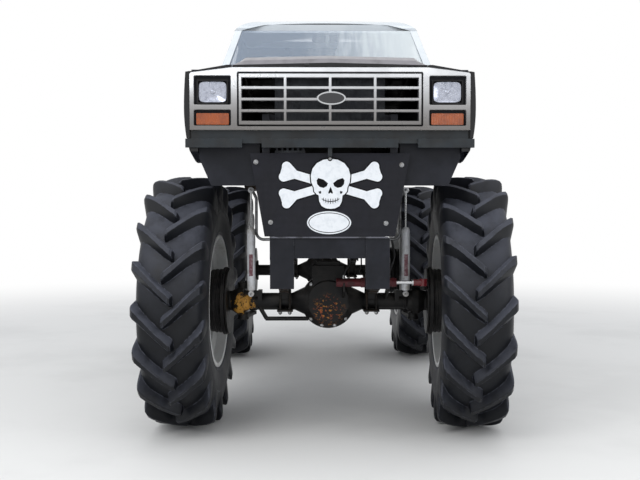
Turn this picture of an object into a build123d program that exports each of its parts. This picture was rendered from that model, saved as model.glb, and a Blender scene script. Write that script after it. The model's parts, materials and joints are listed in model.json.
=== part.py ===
"""A raised pickup on tall farm tyres, in millimetres.

The body is a two-door pickup: a hollow cab with a separate load bed. It stands on a ladder frame, and
tapered posts join that frame to a second, lower ladder that sits on leaf springs over two heavy axles.
+Z is up, the front faces -Y, and the truck's left side is +X. The origin is on the ground, under the
middle of the truck. Lengths along the truck are measured from the front axle, backwards.
"""

import os
from math import cos, radians, sin, sqrt

from build123d import *

os.makedirs("parts", exist_ok=True)

# Wheels and axles
WHEELBASE = 3378.0
TYRE_RADIUS = 947.0
TYRE_WIDTH = 514.0
TYRE_WALL = 28.0
TRACK = 2118.0
RIM_RADIUS = 482.0
RIM_WIDTH = 452.0
RIM_SHEET = 9.0
PARKED_STEER = -3.0
KINGPIN_TO_TYRE = 409.0
BALL_RADIUS = 85.0
AXLE_TUBE_RADIUS = 60.0
DRUM_RADIUS = 250.0
DRUM_TO_TYRE = 293.0
DRUM_DEPTH = 139.0

# Lower and upper ladder frames; a rise is measured up from the axles
LOWER_RAIL_X = 328.0
LOWER_RAIL_WIDTH = 100.0
LOWER_RAIL_RISE = 501.0
LOWER_RAIL_HEIGHT = 139.0
LEG_WIDTH = 165.0
LEG_X = 331.5
LEG_RISE = 150.0
UPPER_RAIL_X = 440.0
UPPER_RAIL_WIDTH = 60.0
UPPER_RAIL_TOP = 1950.0
UPPER_RAIL_HEIGHT = 150.0
RAIL_SHEET = 8.0

# Body
REAR_OVERHANG = 1122.0
HALF_WIDTH = 994.0
SILL_Z = 1900.0
CREASE_Z = 2330.0
BELT_Z = 2770.0
SILL_HALF_WIDTH = 915.0
BELT_HALF_WIDTH = 962.0
SIDE_INNER_X = 845.0
FENDER_INNER_X = 905.0
FENDER_FRONT = 740.0
FENDER_FRONT_Z = 2632.0
HEADER_HALF_WIDTH = 953.0
HEADER_LOW = 2186.0
HEADER_TOP = 2610.0
HOOD_HALF_WIDTH = 663.0
HOOD_REAR = 515.0
FLOOR_Z = 2000.0
FLOOR_SHEET = 25.0
CAB_FRONT = 600.0
CAB_BACK = 1956.0
CAB_WALL = 40.0
ROOF_Z = 3320.0
DOOR_FRONT = 650.0
DOOR_REAR = 1650.0
DOOR_SILL_Z = 1992.0
DOOR_GAP = 8.0
DOOR_REAR_GAP = 12.0
ARCH_RADIUS = 430.0
ARCH_CENTRE_Z = 1960.0
BED_FRONT = 1980.0
BED_FLOOR_Z = 2120.0
BED_RAIL_Z = 2745.0
BED_INNER_X = 855.0
TAILGATE_THICKNESS = 45.0
PANEL_GAP = 7.0
GLASS = 6.0

# Worked-out places
LENGTH = TYRE_RADIUS + WHEELBASE + REAR_OVERHANG
FRONT_AXLE_Y = TYRE_RADIUS - LENGTH / 2
REAR_AXLE_Y = FRONT_AXLE_Y + WHEELBASE
BED_REAR = WHEELBASE + REAR_OVERHANG
AXLE_Z = TYRE_RADIUS
HALF_TRACK = TRACK / 2
KINGPIN_X = HALF_TRACK - KINGPIN_TO_TYRE
DRUM_INNER_X = HALF_TRACK - DRUM_TO_TYRE
LOWER_RAIL_TOP = AXLE_Z + LOWER_RAIL_RISE
LEG_BOTTOM = AXLE_Z + LEG_RISE
SIDES = {"left": 1, "right": -1}
STANDING = (Align.CENTER, Align.CENTER, Align.MIN)


def back(distance):
    """The Y of a place this far behind the front axle."""
    return FRONT_AXLE_Y + distance


def cross_plane(distance):
    """A plane across the truck. Sketches are seen from the front, and extrude towards the front."""
    return Plane(origin=(0, back(distance), 0), x_dir=(1, 0, 0), z_dir=(0, -1, 0))


def side_plane(x=0.0):
    """A plane along the truck. Its sketch x is Y and its sketch y is Z, and it extrudes towards +X."""
    return Plane(origin=(x, FRONT_AXLE_Y, 0), x_dir=(0, 1, 0), z_dir=(1, 0, 0))


def block(x, along, z, mode=Mode.ADD):
    """A box between two values on each axis; the middle pair is measured back from the front axle."""
    y = (back(along[0]), back(along[1]))
    with Locations(((x[0] + x[1]) / 2, (y[0] + y[1]) / 2, (z[0] + z[1]) / 2)):
        Box(x[1] - x[0], y[1] - y[0], z[1] - z[0], mode=mode)


def side_block(side, x, along, z, mode=Mode.ADD):
    """A box on one side of the truck, with its x pair measured outwards from the middle."""
    block(sorted((side * x[0], side * x[1])), along, z, mode)


def bar(start, end, radius, mode=Mode.ADD):
    """A round bar between two points, each (x, distance back, z)."""
    a = Vector(start[0], back(start[1]), start[2])
    b = Vector(end[0], back(end[1]), end[2])
    with Locations(Plane(origin=a, z_dir=b - a)):
        Cylinder(radius, (b - a).length, align=STANDING, mode=mode)


def skin_x(z):
    """Half width of the body side at a height, widest at the crease."""
    if z < CREASE_Z:
        return HALF_WIDTH - (HALF_WIDTH - SILL_HALF_WIDTH) * ((CREASE_Z - z) / (CREASE_Z - SILL_Z)) ** 2
    return HALF_WIDTH - (HALF_WIDTH - BELT_HALF_WIDTH) * ((z - CREASE_Z) / (BELT_Z - CREASE_Z)) ** 2


def skin_point(z):
    return (skin_x(z), z)


def side_face(inner_x, low=SILL_Z, high=BELT_Z):
    """The cross-section of a thick body side, from the sill over the crease to the belt."""
    with BuildLine() as outline:
        for start, end in ((low, min(high, CREASE_Z)), (CREASE_Z, high)):
            if start < end:
                ThreePointArc(skin_point(start), skin_point((start + end) / 2), skin_point(end))
        Polyline(skin_point(high), (inner_x, high), (inner_x, low), skin_point(low))
    make_face(outline.edges())


def arch_cut(axle_distance, mode=Mode.SUBTRACT):
    """The opening for a wheel through both body sides."""
    with BuildSketch(side_plane(-HALF_WIDTH - 50)) as opening:
        with Locations((axle_distance, ARCH_CENTRE_Z)):
            Circle(ARCH_RADIUS)
        with Locations((axle_distance, ARCH_CENTRE_Z - ARCH_RADIUS / 2)):
            Rectangle(2 * ARCH_RADIUS, ARCH_RADIUS)
    extrude(opening.sketch, amount=2 * HALF_WIDTH + 100, mode=mode)


def write(builder, label):
    builder.part.label = label
    export_step(builder.part, f"parts/{label}.step")


def steered(part, side):
    """A front wheel's piece, turned about its kingpin to the parked steering angle."""
    kingpin = Axis((side * KINGPIN_X, FRONT_AXLE_Y, 0), (0, 0, 1))
    return part.rotate(kingpin, PARKED_STEER)


# Wheels: tyre, rim and brake drum, made once about the X axis with the outer side towards +X

BEAD_RADIUS = RIM_RADIUS + 4
TYRE_HALF = TYRE_WIDTH / 2
BEAD_HALF = RIM_WIDTH / 2 - RIM_SHEET - 1

TYRE_SECTION = [
    (0, TYRE_RADIUS),
    (TYRE_HALF - 32, TYRE_RADIUS - 22),
    (TYRE_HALF - 8, TYRE_RADIUS - 78),
    (TYRE_HALF, TYRE_RADIUS - 270),
    (BEAD_HALF, BEAD_RADIUS + 26),
    (BEAD_HALF, BEAD_RADIUS),
    (BEAD_HALF - TYRE_WALL, BEAD_RADIUS),
    (BEAD_HALF - TYRE_WALL, BEAD_RADIUS + 26),
    (TYRE_HALF - TYRE_WALL, TYRE_RADIUS - 270),
    (TYRE_HALF - 50, TYRE_RADIUS - 100),
]

with BuildPart() as tyre:
    with BuildSketch(Plane.XZ):
        with BuildLine():
            Polyline(*TYRE_SECTION, *((-x, radius) for x, radius in TYRE_SECTION[:0:-1]), close=True)
        make_face()
    revolve(axis=Axis.X)

DRUM_OUTER_X = DRUM_INNER_X + DRUM_DEPTH
DISC_PLACE = DRUM_OUTER_X - HALF_TRACK
DISC_THICKNESS = 14.0
HUB_RADIUS = 88.0
PAD_RADIUS = 185.0
WELL_RADIUS = 436.0

with BuildPart() as rim:
    with BuildSketch(Plane.XZ):
        with BuildLine():
            half = RIM_WIDTH / 2
            lip = RIM_RADIUS + 24
            Polyline(
                (-half, lip),
                (-half, RIM_RADIUS - RIM_SHEET),
                (-half + 75, RIM_RADIUS - RIM_SHEET),
                (-half + 100, WELL_RADIUS - RIM_SHEET),
                (half - 190, WELL_RADIUS - RIM_SHEET),
                (half - 150, RIM_RADIUS - RIM_SHEET),
                (half, RIM_RADIUS - RIM_SHEET),
                (half, lip),
                (half - RIM_SHEET, lip),
                (half - RIM_SHEET, RIM_RADIUS),
                (half - 154, RIM_RADIUS),
                (half - 194, WELL_RADIUS),
                (-half + 96, WELL_RADIUS),
                (-half + 71, RIM_RADIUS),
                (-half + RIM_SHEET, RIM_RADIUS),
                (-half + RIM_SHEET, lip),
                close=True,
            )
        make_face()
        with BuildLine():
            Polyline(
                (DISC_PLACE, HUB_RADIUS + 2),
                (DISC_PLACE, PAD_RADIUS),
                (DISC_PLACE + 95, 330),
                (DISC_PLACE + 95, WELL_RADIUS - RIM_SHEET),
                (DISC_PLACE + 95 + DISC_THICKNESS, WELL_RADIUS - RIM_SHEET),
                (DISC_PLACE + 95 + DISC_THICKNESS, 324),
                (DISC_PLACE + DISC_THICKNESS, PAD_RADIUS - 6),
                (DISC_PLACE + DISC_THICKNESS, HUB_RADIUS + 2),
                close=True,
            )
        make_face()
    revolve(axis=Axis.X)

DRUM_SHEET = 18.0
HUB_REACH = 118.0

with BuildPart() as drum:
    with BuildSketch(Plane.XZ):
        with BuildLine():
            inner = DRUM_INNER_X - HALF_TRACK
            outer = DISC_PLACE
            Polyline(
                (inner, DRUM_RADIUS),
                (outer - 22, DRUM_RADIUS - 12),
                (outer, DRUM_RADIUS - 34),
                (outer, HUB_RADIUS),
                (outer + HUB_REACH - 30, HUB_RADIUS),
                (outer + HUB_REACH, HUB_RADIUS - 34),
                (outer + HUB_REACH, 0),
                (outer - DRUM_SHEET, 0),
                (outer - DRUM_SHEET, DRUM_RADIUS - 12 - DRUM_SHEET),
                (inner, DRUM_RADIUS - 12 - DRUM_SHEET),
                close=True,
            )
        make_face()
    revolve(axis=Axis.X)

with BuildPart() as wheel:
    add(rim.part)
    add(drum.part)

for end, axle_y in (("front", FRONT_AXLE_Y), ("rear", REAR_AXLE_Y)):
    for hand, side in SIDES.items():
        for piece, made in (("tyre", tyre), ("wheel", wheel)):
            turned = made.part if side > 0 else made.part.rotate(Axis.Z, 180)
            placed = turned.moved(Location((side * HALF_TRACK, axle_y, AXLE_Z)))
            if end == "front":
                placed = steered(placed, side)
            placed.label = f"{piece}_{end}_{hand}"
            export_step(placed, f"parts/{placed.label}.step")


# Steering sizes, which the axle and the knuckles share

KNUCKLE_INNER = BALL_RADIUS + 3
KNUCKLE_OUTER = KNUCKLE_INNER + 24
ARM_THICKNESS = 25.0
RAM_ARM = (62.0, -270.0)
TIE_ARM = (-50.0, 240.0)
ARM_TOP = AXLE_Z + KNUCKLE_OUTER + 18
RAM_Z = ARM_TOP + 31
SOCKET_RADIUS = 30.0
SPINDLE_REACH = 110.0
NECK_RADIUS = 74.0
JOINT_GAP = 6.0
ARM_LOWER_TOP = AXLE_Z - KNUCKLE_OUTER - 18 + ARM_THICKNESS
TIE_ROD_RADIUS = 22.0
TIE_Z = ARM_LOWER_TOP + JOINT_GAP + TIE_ROD_RADIUS + 2
RAM_INNER_END = 55.0
RAM_OUTER_END = 498.0
RAM_RADIUS = 32.0
ROD_INNER_END = 215.0
RAM_ROD_RADIUS = 14.0
RAM_WALL = 9.0
RAM_CAP = 12.0
RAM_GLAND = 28.0
CLEVIS_LENGTH = 85.0
CLEVIS_RADIUS = 24.0


def arm_end(arm, side):
    """Where a steering arm's end lies at the parked angle, as (x, distance back)."""
    turn = radians(PARKED_STEER)
    x = side * KINGPIN_X + arm[0] * cos(turn) - arm[1] * sin(turn)
    return (x, arm[0] * sin(turn) + arm[1] * cos(turn))


def ball_point(radius, turn):
    """A corner of the axle's ball or of the bell round it, at an angle from the truck's outer side."""
    return (radius * cos(radians(turn)), radius * sin(radians(turn)))


ram_end = arm_end(RAM_ARM, 1)

# Shock absorbers stand beside the springs, ahead of the front axle and behind the rear one

SHOCK_X = KINGPIN_X - 73
SHOCK_OFFSET = 170.0
SHOCK_LOW_Z = AXLE_Z + 68
SHOCK_HIGH_Z = SHOCK_LOW_Z + 775
SHOCK_EYE = 34.0
SHOCK_EYE_RADIUS = 22.0
BRACKET_X = (SHOCK_X - 77, SHOCK_X - 47)
BRACKET_REACH = 16.0
BRACKET_SHEET = 14.0


def shock_brackets(distance, toward):
    """Arms on an axle that reach the lower eyes; toward is the way along the truck that they lean."""
    eye_face = distance + toward * (SHOCK_OFFSET - SHOCK_EYE)
    arm = sorted((distance + toward * AXLE_TUBE_RADIUS / 2, eye_face))
    lug = sorted((eye_face - toward * BRACKET_SHEET, eye_face))
    low, high = SHOCK_LOW_Z - SHOCK_EYE_RADIUS, SHOCK_LOW_Z + SHOCK_EYE_RADIUS
    for side in (1, -1):
        side_block(side, BRACKET_X, arm, (AXLE_Z + AXLE_TUBE_RADIUS / 4, high))
        side_block(side, (BRACKET_X[0], SHOCK_X + BRACKET_REACH), lug, (low, high))


# Axles: a banjo housing with a top-loading gear carrier

BANJO_RADIUS = 205.0
BANJO_DEPTH = 210.0
CARRIER_TOP = AXLE_Z + 303
PAD_TOP = AXLE_Z + 65
PLATE_X = DRUM_INNER_X - 18
PLATE_THICKNESS = 12.0
PINION_Z = AXLE_Z + 203
PINION_REACH = 300.0
PINION_RADIUS = 62.0
FLANGE_RADIUS = 80.0
FLANGE_THICKNESS = 25.0
BRACE_RADIUS = 16.0
BANJO_BEVEL = 50.0
FLARE_START = 150.0
FLARE_LENGTH = 125.0
FLARE_RADIUS = 118.0
PAD_HALF_WIDTH = 45.0
PAD_HALF_LENGTH = 75.0
CARRIER_HALF = (120.0, 95.0)
CARRIER_CAP_HALF = (90.0, 75.0)
CARRIER_CAP = 40.0


def axle_housing(distance, pinion_side, half_length):
    """Tubes, banjo, gear carrier, spring pads and a pinion nose that faces the rear when it is +1."""
    bar((-half_length, distance, AXLE_Z), (half_length, distance, AXLE_Z), AXLE_TUBE_RADIUS)
    for side in (1, -1):
        with Locations(Plane(origin=(side * FLARE_START, back(distance), AXLE_Z), z_dir=(side, 0, 0))):
            Cone(FLARE_RADIUS, AXLE_TUBE_RADIUS, FLARE_LENGTH, align=STANDING)
        pad = (LOWER_RAIL_X - PAD_HALF_WIDTH, LOWER_RAIL_X + PAD_HALF_WIDTH)
        along = (distance - PAD_HALF_LENGTH, distance + PAD_HALF_LENGTH)
        side_block(side, pad, along, (AXLE_Z + AXLE_TUBE_RADIUS / 3, PAD_TOP))
    quarter = BANJO_DEPTH / 4
    bar((0, distance - quarter, AXLE_Z), (0, distance + quarter, AXLE_Z), BANJO_RADIUS)
    for end in (1, -1):
        with Locations(Plane(origin=(0, back(distance + end * quarter), AXLE_Z), z_dir=(0, end, 0))):
            Cone(BANJO_RADIUS, BANJO_RADIUS - BANJO_BEVEL, quarter, align=STANDING)
    for (half_x, half_y), low, high in (
        (CARRIER_HALF, AXLE_Z + BANJO_RADIUS / 2, CARRIER_TOP - CARRIER_CAP + 10),
        (CARRIER_CAP_HALF, CARRIER_TOP - CARRIER_CAP, CARRIER_TOP),
    ):
        block((-half_x, half_x), (distance - half_y, distance + half_y), (low, high))
    nose = distance + pinion_side * PINION_REACH
    bar((0, distance, PINION_Z), (0, nose, PINION_Z), PINION_RADIUS)
    bar((0, nose - pinion_side * FLANGE_THICKNESS, PINION_Z), (0, nose, PINION_Z), FLANGE_RADIUS)


with BuildPart() as front_axle:
    axle_housing(0, 1, KINGPIN_X - 40)
    for side in (1, -1):
        centre = (side * KINGPIN_X, FRONT_AXLE_Y, AXLE_Z)
        with BuildSketch(Plane(origin=centre, x_dir=(1, 0, 0), z_dir=(0, -1, 0))):
            Polygon(*(ball_point(BALL_RADIUS, turn) for turn in range(0, 181, 30)), align=None)
        revolve(axis=Axis(centre, (1, 0, 0)))
        bar((side * (KINGPIN_X - 75), 0, AXLE_Z), (side * (KINGPIN_X - 60), 0, AXLE_Z), 66)
    # saddles under the steering ram, and the brace below the right tube
    for x in (105, 430):
        with BuildSketch(side_plane(x)):
            Polygon(
                (-305, RAM_Z - 63),
                (-305, RAM_Z),
                (-240, RAM_Z),
                (-20, AXLE_Z + 53),
                (0, AXLE_Z + 13),
                (-50, AXLE_Z + 13),
                align=None,
            )
        extrude(amount=14)
    bar((0, ram_end[1], RAM_Z), (RAM_OUTER_END, ram_end[1], RAM_Z), RAM_RADIUS, mode=Mode.SUBTRACT)
    brace_z = AXLE_Z - 135
    bar((-525, -25, AXLE_Z - 40), (-470, -25, brace_z), BRACE_RADIUS)
    bar((-478, -25, brace_z), (-150, -25, brace_z), BRACE_RADIUS)
    shock_brackets(0, -1)
write(front_axle, "front_axle")

with BuildPart() as rear_axle:
    axle_housing(WHEELBASE, -1, PLATE_X)
    shock_brackets(WHEELBASE, 1)
    for side in (1, -1):
        plate_back = PLATE_X + PLATE_THICKNESS
        bar((side * (PLATE_X - 20), WHEELBASE, AXLE_Z), (side * PLATE_X, WHEELBASE, AXLE_Z), FLARE_RADIUS - 8)
        bar((side * PLATE_X, WHEELBASE, AXLE_Z), (side * plate_back, WHEELBASE, AXLE_Z), DRUM_RADIUS)
write(rear_axle, "rear_axle")

# Steering: closed knuckles round the axle's balls, a tie rod behind the axle and a ram ahead of it

BELL_STEP = 32.0


for hand, side in SIDES.items():
    with BuildPart() as knuckle:
        centre = (side * KINGPIN_X, FRONT_AXLE_Y, AXLE_Z)
        with BuildSketch(Plane(origin=centre, x_dir=(side, 0, 0), z_dir=(0, -side, 0))):
            with BuildLine():
                plate_x = PLATE_X - KINGPIN_X
                tip = plate_x + SPINDLE_REACH
                clear = KNUCKLE_INNER / cos(radians(BELL_STEP / 2))
                Polyline(
                    *(ball_point(clear, number * BELL_STEP) for number in range(4)),
                    *(ball_point(KNUCKLE_OUTER, number * BELL_STEP) for number in (3, 2.2)),
                    (sqrt(KNUCKLE_OUTER**2 - NECK_RADIUS**2), NECK_RADIUS),
                    (plate_x, NECK_RADIUS),
                    (plate_x, DRUM_RADIUS),
                    (plate_x + PLATE_THICKNESS, DRUM_RADIUS),
                    (plate_x + PLATE_THICKNESS, 45),
                    (tip, 45),
                    (tip, 0),
                    close=True,
                )
            make_face()
        revolve(axis=Axis(centre, (1, 0, 0)))
        for end in (1, -1):
            bar(
                (side * KINGPIN_X, 0, AXLE_Z + end * (KNUCKLE_INNER + 6)),
                (side * KINGPIN_X, 0, AXLE_Z + end * (KNUCKLE_OUTER + 18)),
                38,
            )
        tie_x = side * (KINGPIN_X + TIE_ARM[0])
        with BuildSketch(Plane.XY.offset(AXLE_Z - KNUCKLE_OUTER - 18)):
            with BuildLine():
                Polyline(
                    (side * (KINGPIN_X - 38), FRONT_AXLE_Y),
                    (side * (KINGPIN_X + 38), FRONT_AXLE_Y),
                    (tie_x + side * 24, back(TIE_ARM[1])),
                    (tie_x - side * 24, back(TIE_ARM[1])),
                    close=True,
                )
            make_face()
            with Locations((tie_x, back(TIE_ARM[1]))):
                Circle(26)
        extrude(amount=ARM_THICKNESS)
        if hand == "left":
            ram_x = KINGPIN_X + RAM_ARM[0]
            with BuildSketch(Plane.XY.offset(ARM_TOP - ARM_THICKNESS)):
                with BuildLine():
                    Polyline(
                        (KINGPIN_X - 36, FRONT_AXLE_Y),
                        (KINGPIN_X + 30, FRONT_AXLE_Y),
                        (KINGPIN_X + 122, back(-125)),
                        (ram_x + 24, back(RAM_ARM[1])),
                        (ram_x - 24, back(RAM_ARM[1])),
                        (KINGPIN_X + 60, back(-115)),
                        close=True,
                    )
                make_face()
                with Locations((ram_x, back(RAM_ARM[1]))):
                    Circle(26)
            extrude(amount=ARM_THICKNESS)
    knuckle.part = steered(knuckle.part, side)
    write(knuckle, f"knuckle_{hand}")

with BuildPart() as tie_rod:
    ends = {side: arm_end((side * TIE_ARM[0], TIE_ARM[1]), side) for side in (1, -1)}
    bar((ends[-1][0], ends[-1][1], TIE_Z), (ends[1][0], ends[1][1], TIE_Z), TIE_ROD_RADIUS)
    for x, distance in ends.values():
        bar((x, distance, ARM_LOWER_TOP + JOINT_GAP), (x, distance, TIE_Z + 26), SOCKET_RADIUS)
write(tie_rod, "tie_rod")

with BuildPart() as steering_ram:
    for start, end, radius, mode in (
        (RAM_INNER_END, RAM_OUTER_END, RAM_RADIUS, Mode.ADD),
        (RAM_INNER_END + RAM_CAP, RAM_OUTER_END - RAM_GLAND, RAM_RADIUS - RAM_WALL, Mode.SUBTRACT),
        (RAM_OUTER_END - RAM_GLAND - 2, RAM_OUTER_END + 2, RAM_ROD_RADIUS + 0.05, Mode.SUBTRACT),
    ):
        bar((start, ram_end[1], RAM_Z), (end, ram_end[1], RAM_Z), radius, mode=mode)
write(steering_ram, "steering_ram")

with BuildPart() as ram_rod:
    eye = (ram_end[0], ram_end[1], RAM_Z)
    bar((ROD_INNER_END, ram_end[1], RAM_Z), eye, RAM_ROD_RADIUS)
    bar((ram_end[0] - CLEVIS_LENGTH, ram_end[1], RAM_Z), eye, CLEVIS_RADIUS)
    bar((*ram_end, ARM_TOP + JOINT_GAP), (*ram_end, RAM_Z + RAM_GLAND), SOCKET_RADIUS)
write(ram_rod, "ram_rod")

# Leaf springs, four leaves each, and their shackles

SPRING_HALF_LENGTH = 640.0
EYE_Z = PAD_TOP + 110
LEAF = 9.0
LEAF_WIDTH = 64.0
LEAF_COUNT = 4
LEAF_STEP = 130.0
EYE_RADIUS = 26.0
PIN_RADIUS = 13.0
HANGER_SHEET = 12.0
LEAF_TOP_Z = PAD_TOP + LEAF * LEAF_COUNT
SPRING_SAG = EYE_Z - LEAF_TOP_Z
SPRING_RADIUS = (SPRING_HALF_LENGTH**2 + SPRING_SAG**2) / (2 * SPRING_SAG)
SHACKLE_TOP_Z = EYE_Z + 140
SHACKLE_LEAN = 45.0
SHACKLE_SHEET = 10.0
SHACKLE_HALF = 22.0
SHACKLE_PIN_HEAD = 10.0
CLAMP_SHEET = 16.0


def leaf_edge(distance, half_length, radius):
    """The start, middle and end of a leaf's upper or lower side, an arc about a place above the axle."""
    centre_z = LEAF_TOP_Z + SPRING_RADIUS
    end_z = centre_z - sqrt(radius**2 - half_length**2)
    return ((distance - half_length, end_z), (distance, centre_z - radius), (distance + half_length, end_z))


def leaf(distance, half_length, number):
    """One leaf as a band between two arcs."""
    high = leaf_edge(distance, half_length, SPRING_RADIUS + number * LEAF)
    low = leaf_edge(distance, half_length, SPRING_RADIUS + (number + 1) * LEAF)
    with BuildLine() as outline:
        ThreePointArc(*high)
        Line(high[2], low[2])
        ThreePointArc(*low)
        Line(low[0], high[0])
    make_face(outline.edges())


with BuildPart() as leaf_springs:
    for distance, pin_reach in ((0, LEG_WIDTH / 2 - HANGER_SHEET), (WHEELBASE, LEAF_WIDTH / 2 + 2)):
        with BuildSketch(side_plane(LOWER_RAIL_X - LEAF_WIDTH / 2)):
            for number in range(LEAF_COUNT):
                leaf(distance, SPRING_HALF_LENGTH - number * LEAF_STEP, number)
            for end in (-1, 1):
                with Locations((distance + end * SPRING_HALF_LENGTH, EYE_Z)):
                    Circle(EYE_RADIUS)
        extrude(amount=LEAF_WIDTH)
        front_eye = (distance - SPRING_HALF_LENGTH, EYE_Z)
        centre = LEG_X if distance == 0 else LOWER_RAIL_X
        bar((centre - pin_reach, *front_eye), (centre + pin_reach, *front_eye), PIN_RADIUS)
        clamp = (LOWER_RAIL_X - PAD_HALF_WIDTH, LOWER_RAIL_X + PAD_HALF_WIDTH)
        along = (distance - PAD_HALF_LENGTH, distance + PAD_HALF_LENGTH)
        block(clamp, along, (LEAF_TOP_Z - 1, LEAF_TOP_Z + CLAMP_SHEET))
    for distance in (0, WHEELBASE):
        low = (distance + SPRING_HALF_LENGTH, EYE_Z)
        high = (distance + SPRING_HALF_LENGTH + SHACKLE_LEAN, SHACKLE_TOP_Z)
        for x in (LOWER_RAIL_X - LEAF_WIDTH / 2 - SHACKLE_SHEET, LOWER_RAIL_X + LEAF_WIDTH / 2):
            with BuildSketch(side_plane(x)):
                Polygon(
                    (low[0] - SHACKLE_HALF, low[1]),
                    (low[0] + SHACKLE_HALF, low[1]),
                    (high[0] + SHACKLE_HALF, high[1]),
                    (high[0] - SHACKLE_HALF, high[1]),
                    align=None,
                )
                with Locations(low, high):
                    Circle(SHACKLE_HALF)
            extrude(amount=SHACKLE_SHEET)
        for pin in (low, high):
            for end in (1, -1):
                face = LOWER_RAIL_X + end * (LEAF_WIDTH / 2 + SHACKLE_SHEET)
                bar((face, *pin), (face + end * SHACKLE_PIN_HEAD, *pin), PIN_RADIUS + 4)
    mirror(about=Plane.YZ)
write(leaf_springs, "leaf_springs")

# Upper and lower ladders: the rails of each are one piece, and their cross-members another

LADDER_FRONT = -588.0
LADDER_BACK = WHEELBASE + 772
FRAME_FRONT = -690.0
FRAME_BACK = BED_REAR - 20
POST_DEPTH = 80.0
POST_PLACES = (760.0, 1700.0, WHEELBASE - 678, WHEELBASE + 322)
LOWER_MEMBERS = (1150.0, 1950.0, WHEELBASE - 478, WHEELBASE + 702)
UPPER_MEMBERS = (-560.0, 700.0, 1250.0, 1850.0, WHEELBASE - 878, WHEELBASE, WHEELBASE + 722)
MEMBER_WIDTH = 80.0
UPPER_MEMBER_HEIGHT = 38.0
END_MEMBER = 12.0
LEG_DEPTH = 100.0
HANGER_HALF_TOP = 90.0
HANGER_HALF_LOW = 34.0
HITCH_SPACING_X = 300.0
HITCH_SPACING_Z = 80.0
HITCH_HOLE_RADIUS = 8.5
BUMPER_HOLE_SPACING = 80.0
BUMPER_HOLE_RADIUS = 7.0
BUMPER_HOLE_PLACE = -560.0

upper_outer_x = UPPER_RAIL_X + UPPER_RAIL_WIDTH / 2
upper_inner_x = UPPER_RAIL_X - UPPER_RAIL_WIDTH / 2
upper_low = UPPER_RAIL_TOP - UPPER_RAIL_HEIGHT
upper_mid = UPPER_RAIL_TOP - UPPER_RAIL_HEIGHT / 2
lower_outer_x = LOWER_RAIL_X + LOWER_RAIL_WIDTH / 2
lower_inner_x = LOWER_RAIL_X - LOWER_RAIL_WIDTH / 2
lower_low = LOWER_RAIL_TOP - LOWER_RAIL_HEIGHT

with BuildPart() as frame_rails:
    block((upper_inner_x, upper_outer_x), (FRAME_FRONT, FRAME_BACK), (upper_low, UPPER_RAIL_TOP))
    block(
        (upper_inner_x - 1, upper_outer_x - RAIL_SHEET),
        (FRAME_FRONT - 1, FRAME_BACK + 1),
        (upper_low + RAIL_SHEET, UPPER_RAIL_TOP - RAIL_SHEET),
        mode=Mode.SUBTRACT,
    )
    with BuildSketch(side_plane(upper_outer_x - RAIL_SHEET)):
        for end in (-1, 1):
            with Locations((BUMPER_HOLE_PLACE + end * BUMPER_HOLE_SPACING / 2, upper_mid)):
                Circle(BUMPER_HOLE_RADIUS)
    extrude(amount=RAIL_SHEET, mode=Mode.SUBTRACT)
    block((lower_inner_x, lower_outer_x), (LADDER_FRONT, LADDER_BACK), (lower_low, LOWER_RAIL_TOP))
    mirror(about=Plane.YZ)
write(frame_rails, "frame_rails")

with BuildPart() as crossmembers:
    for place in UPPER_MEMBERS:
        block(
            (-upper_inner_x, upper_inner_x),
            (place - MEMBER_WIDTH / 2, place + MEMBER_WIDTH / 2),
            (upper_low, upper_low + UPPER_MEMBER_HEIGHT),
        )
    block((-upper_inner_x, upper_inner_x), (FRAME_BACK - END_MEMBER, FRAME_BACK), (upper_low, UPPER_RAIL_TOP))
    with BuildSketch(cross_plane(FRAME_BACK)):
        with Locations((0, upper_mid)):
            with GridLocations(HITCH_SPACING_X, HITCH_SPACING_Z, 2, 2):
                Circle(HITCH_HOLE_RADIUS)
    extrude(amount=END_MEMBER, mode=Mode.SUBTRACT)
    for place in LOWER_MEMBERS:
        along = (place - MEMBER_WIDTH / 2, place + MEMBER_WIDTH / 2)
        block((-lower_inner_x, lower_inner_x), along, (lower_low, LOWER_RAIL_TOP))
    leg_inner_x = LEG_X - LEG_WIDTH / 2
    along = (LADDER_FRONT - MEMBER_WIDTH - 12, LADDER_FRONT - 12)
    block((-leg_inner_x, leg_inner_x), along, (lower_low, LOWER_RAIL_TOP))
write(crossmembers, "frame_crossmembers")

# Posts between the ladders, the front legs, and the hangers that hold the springs

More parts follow.
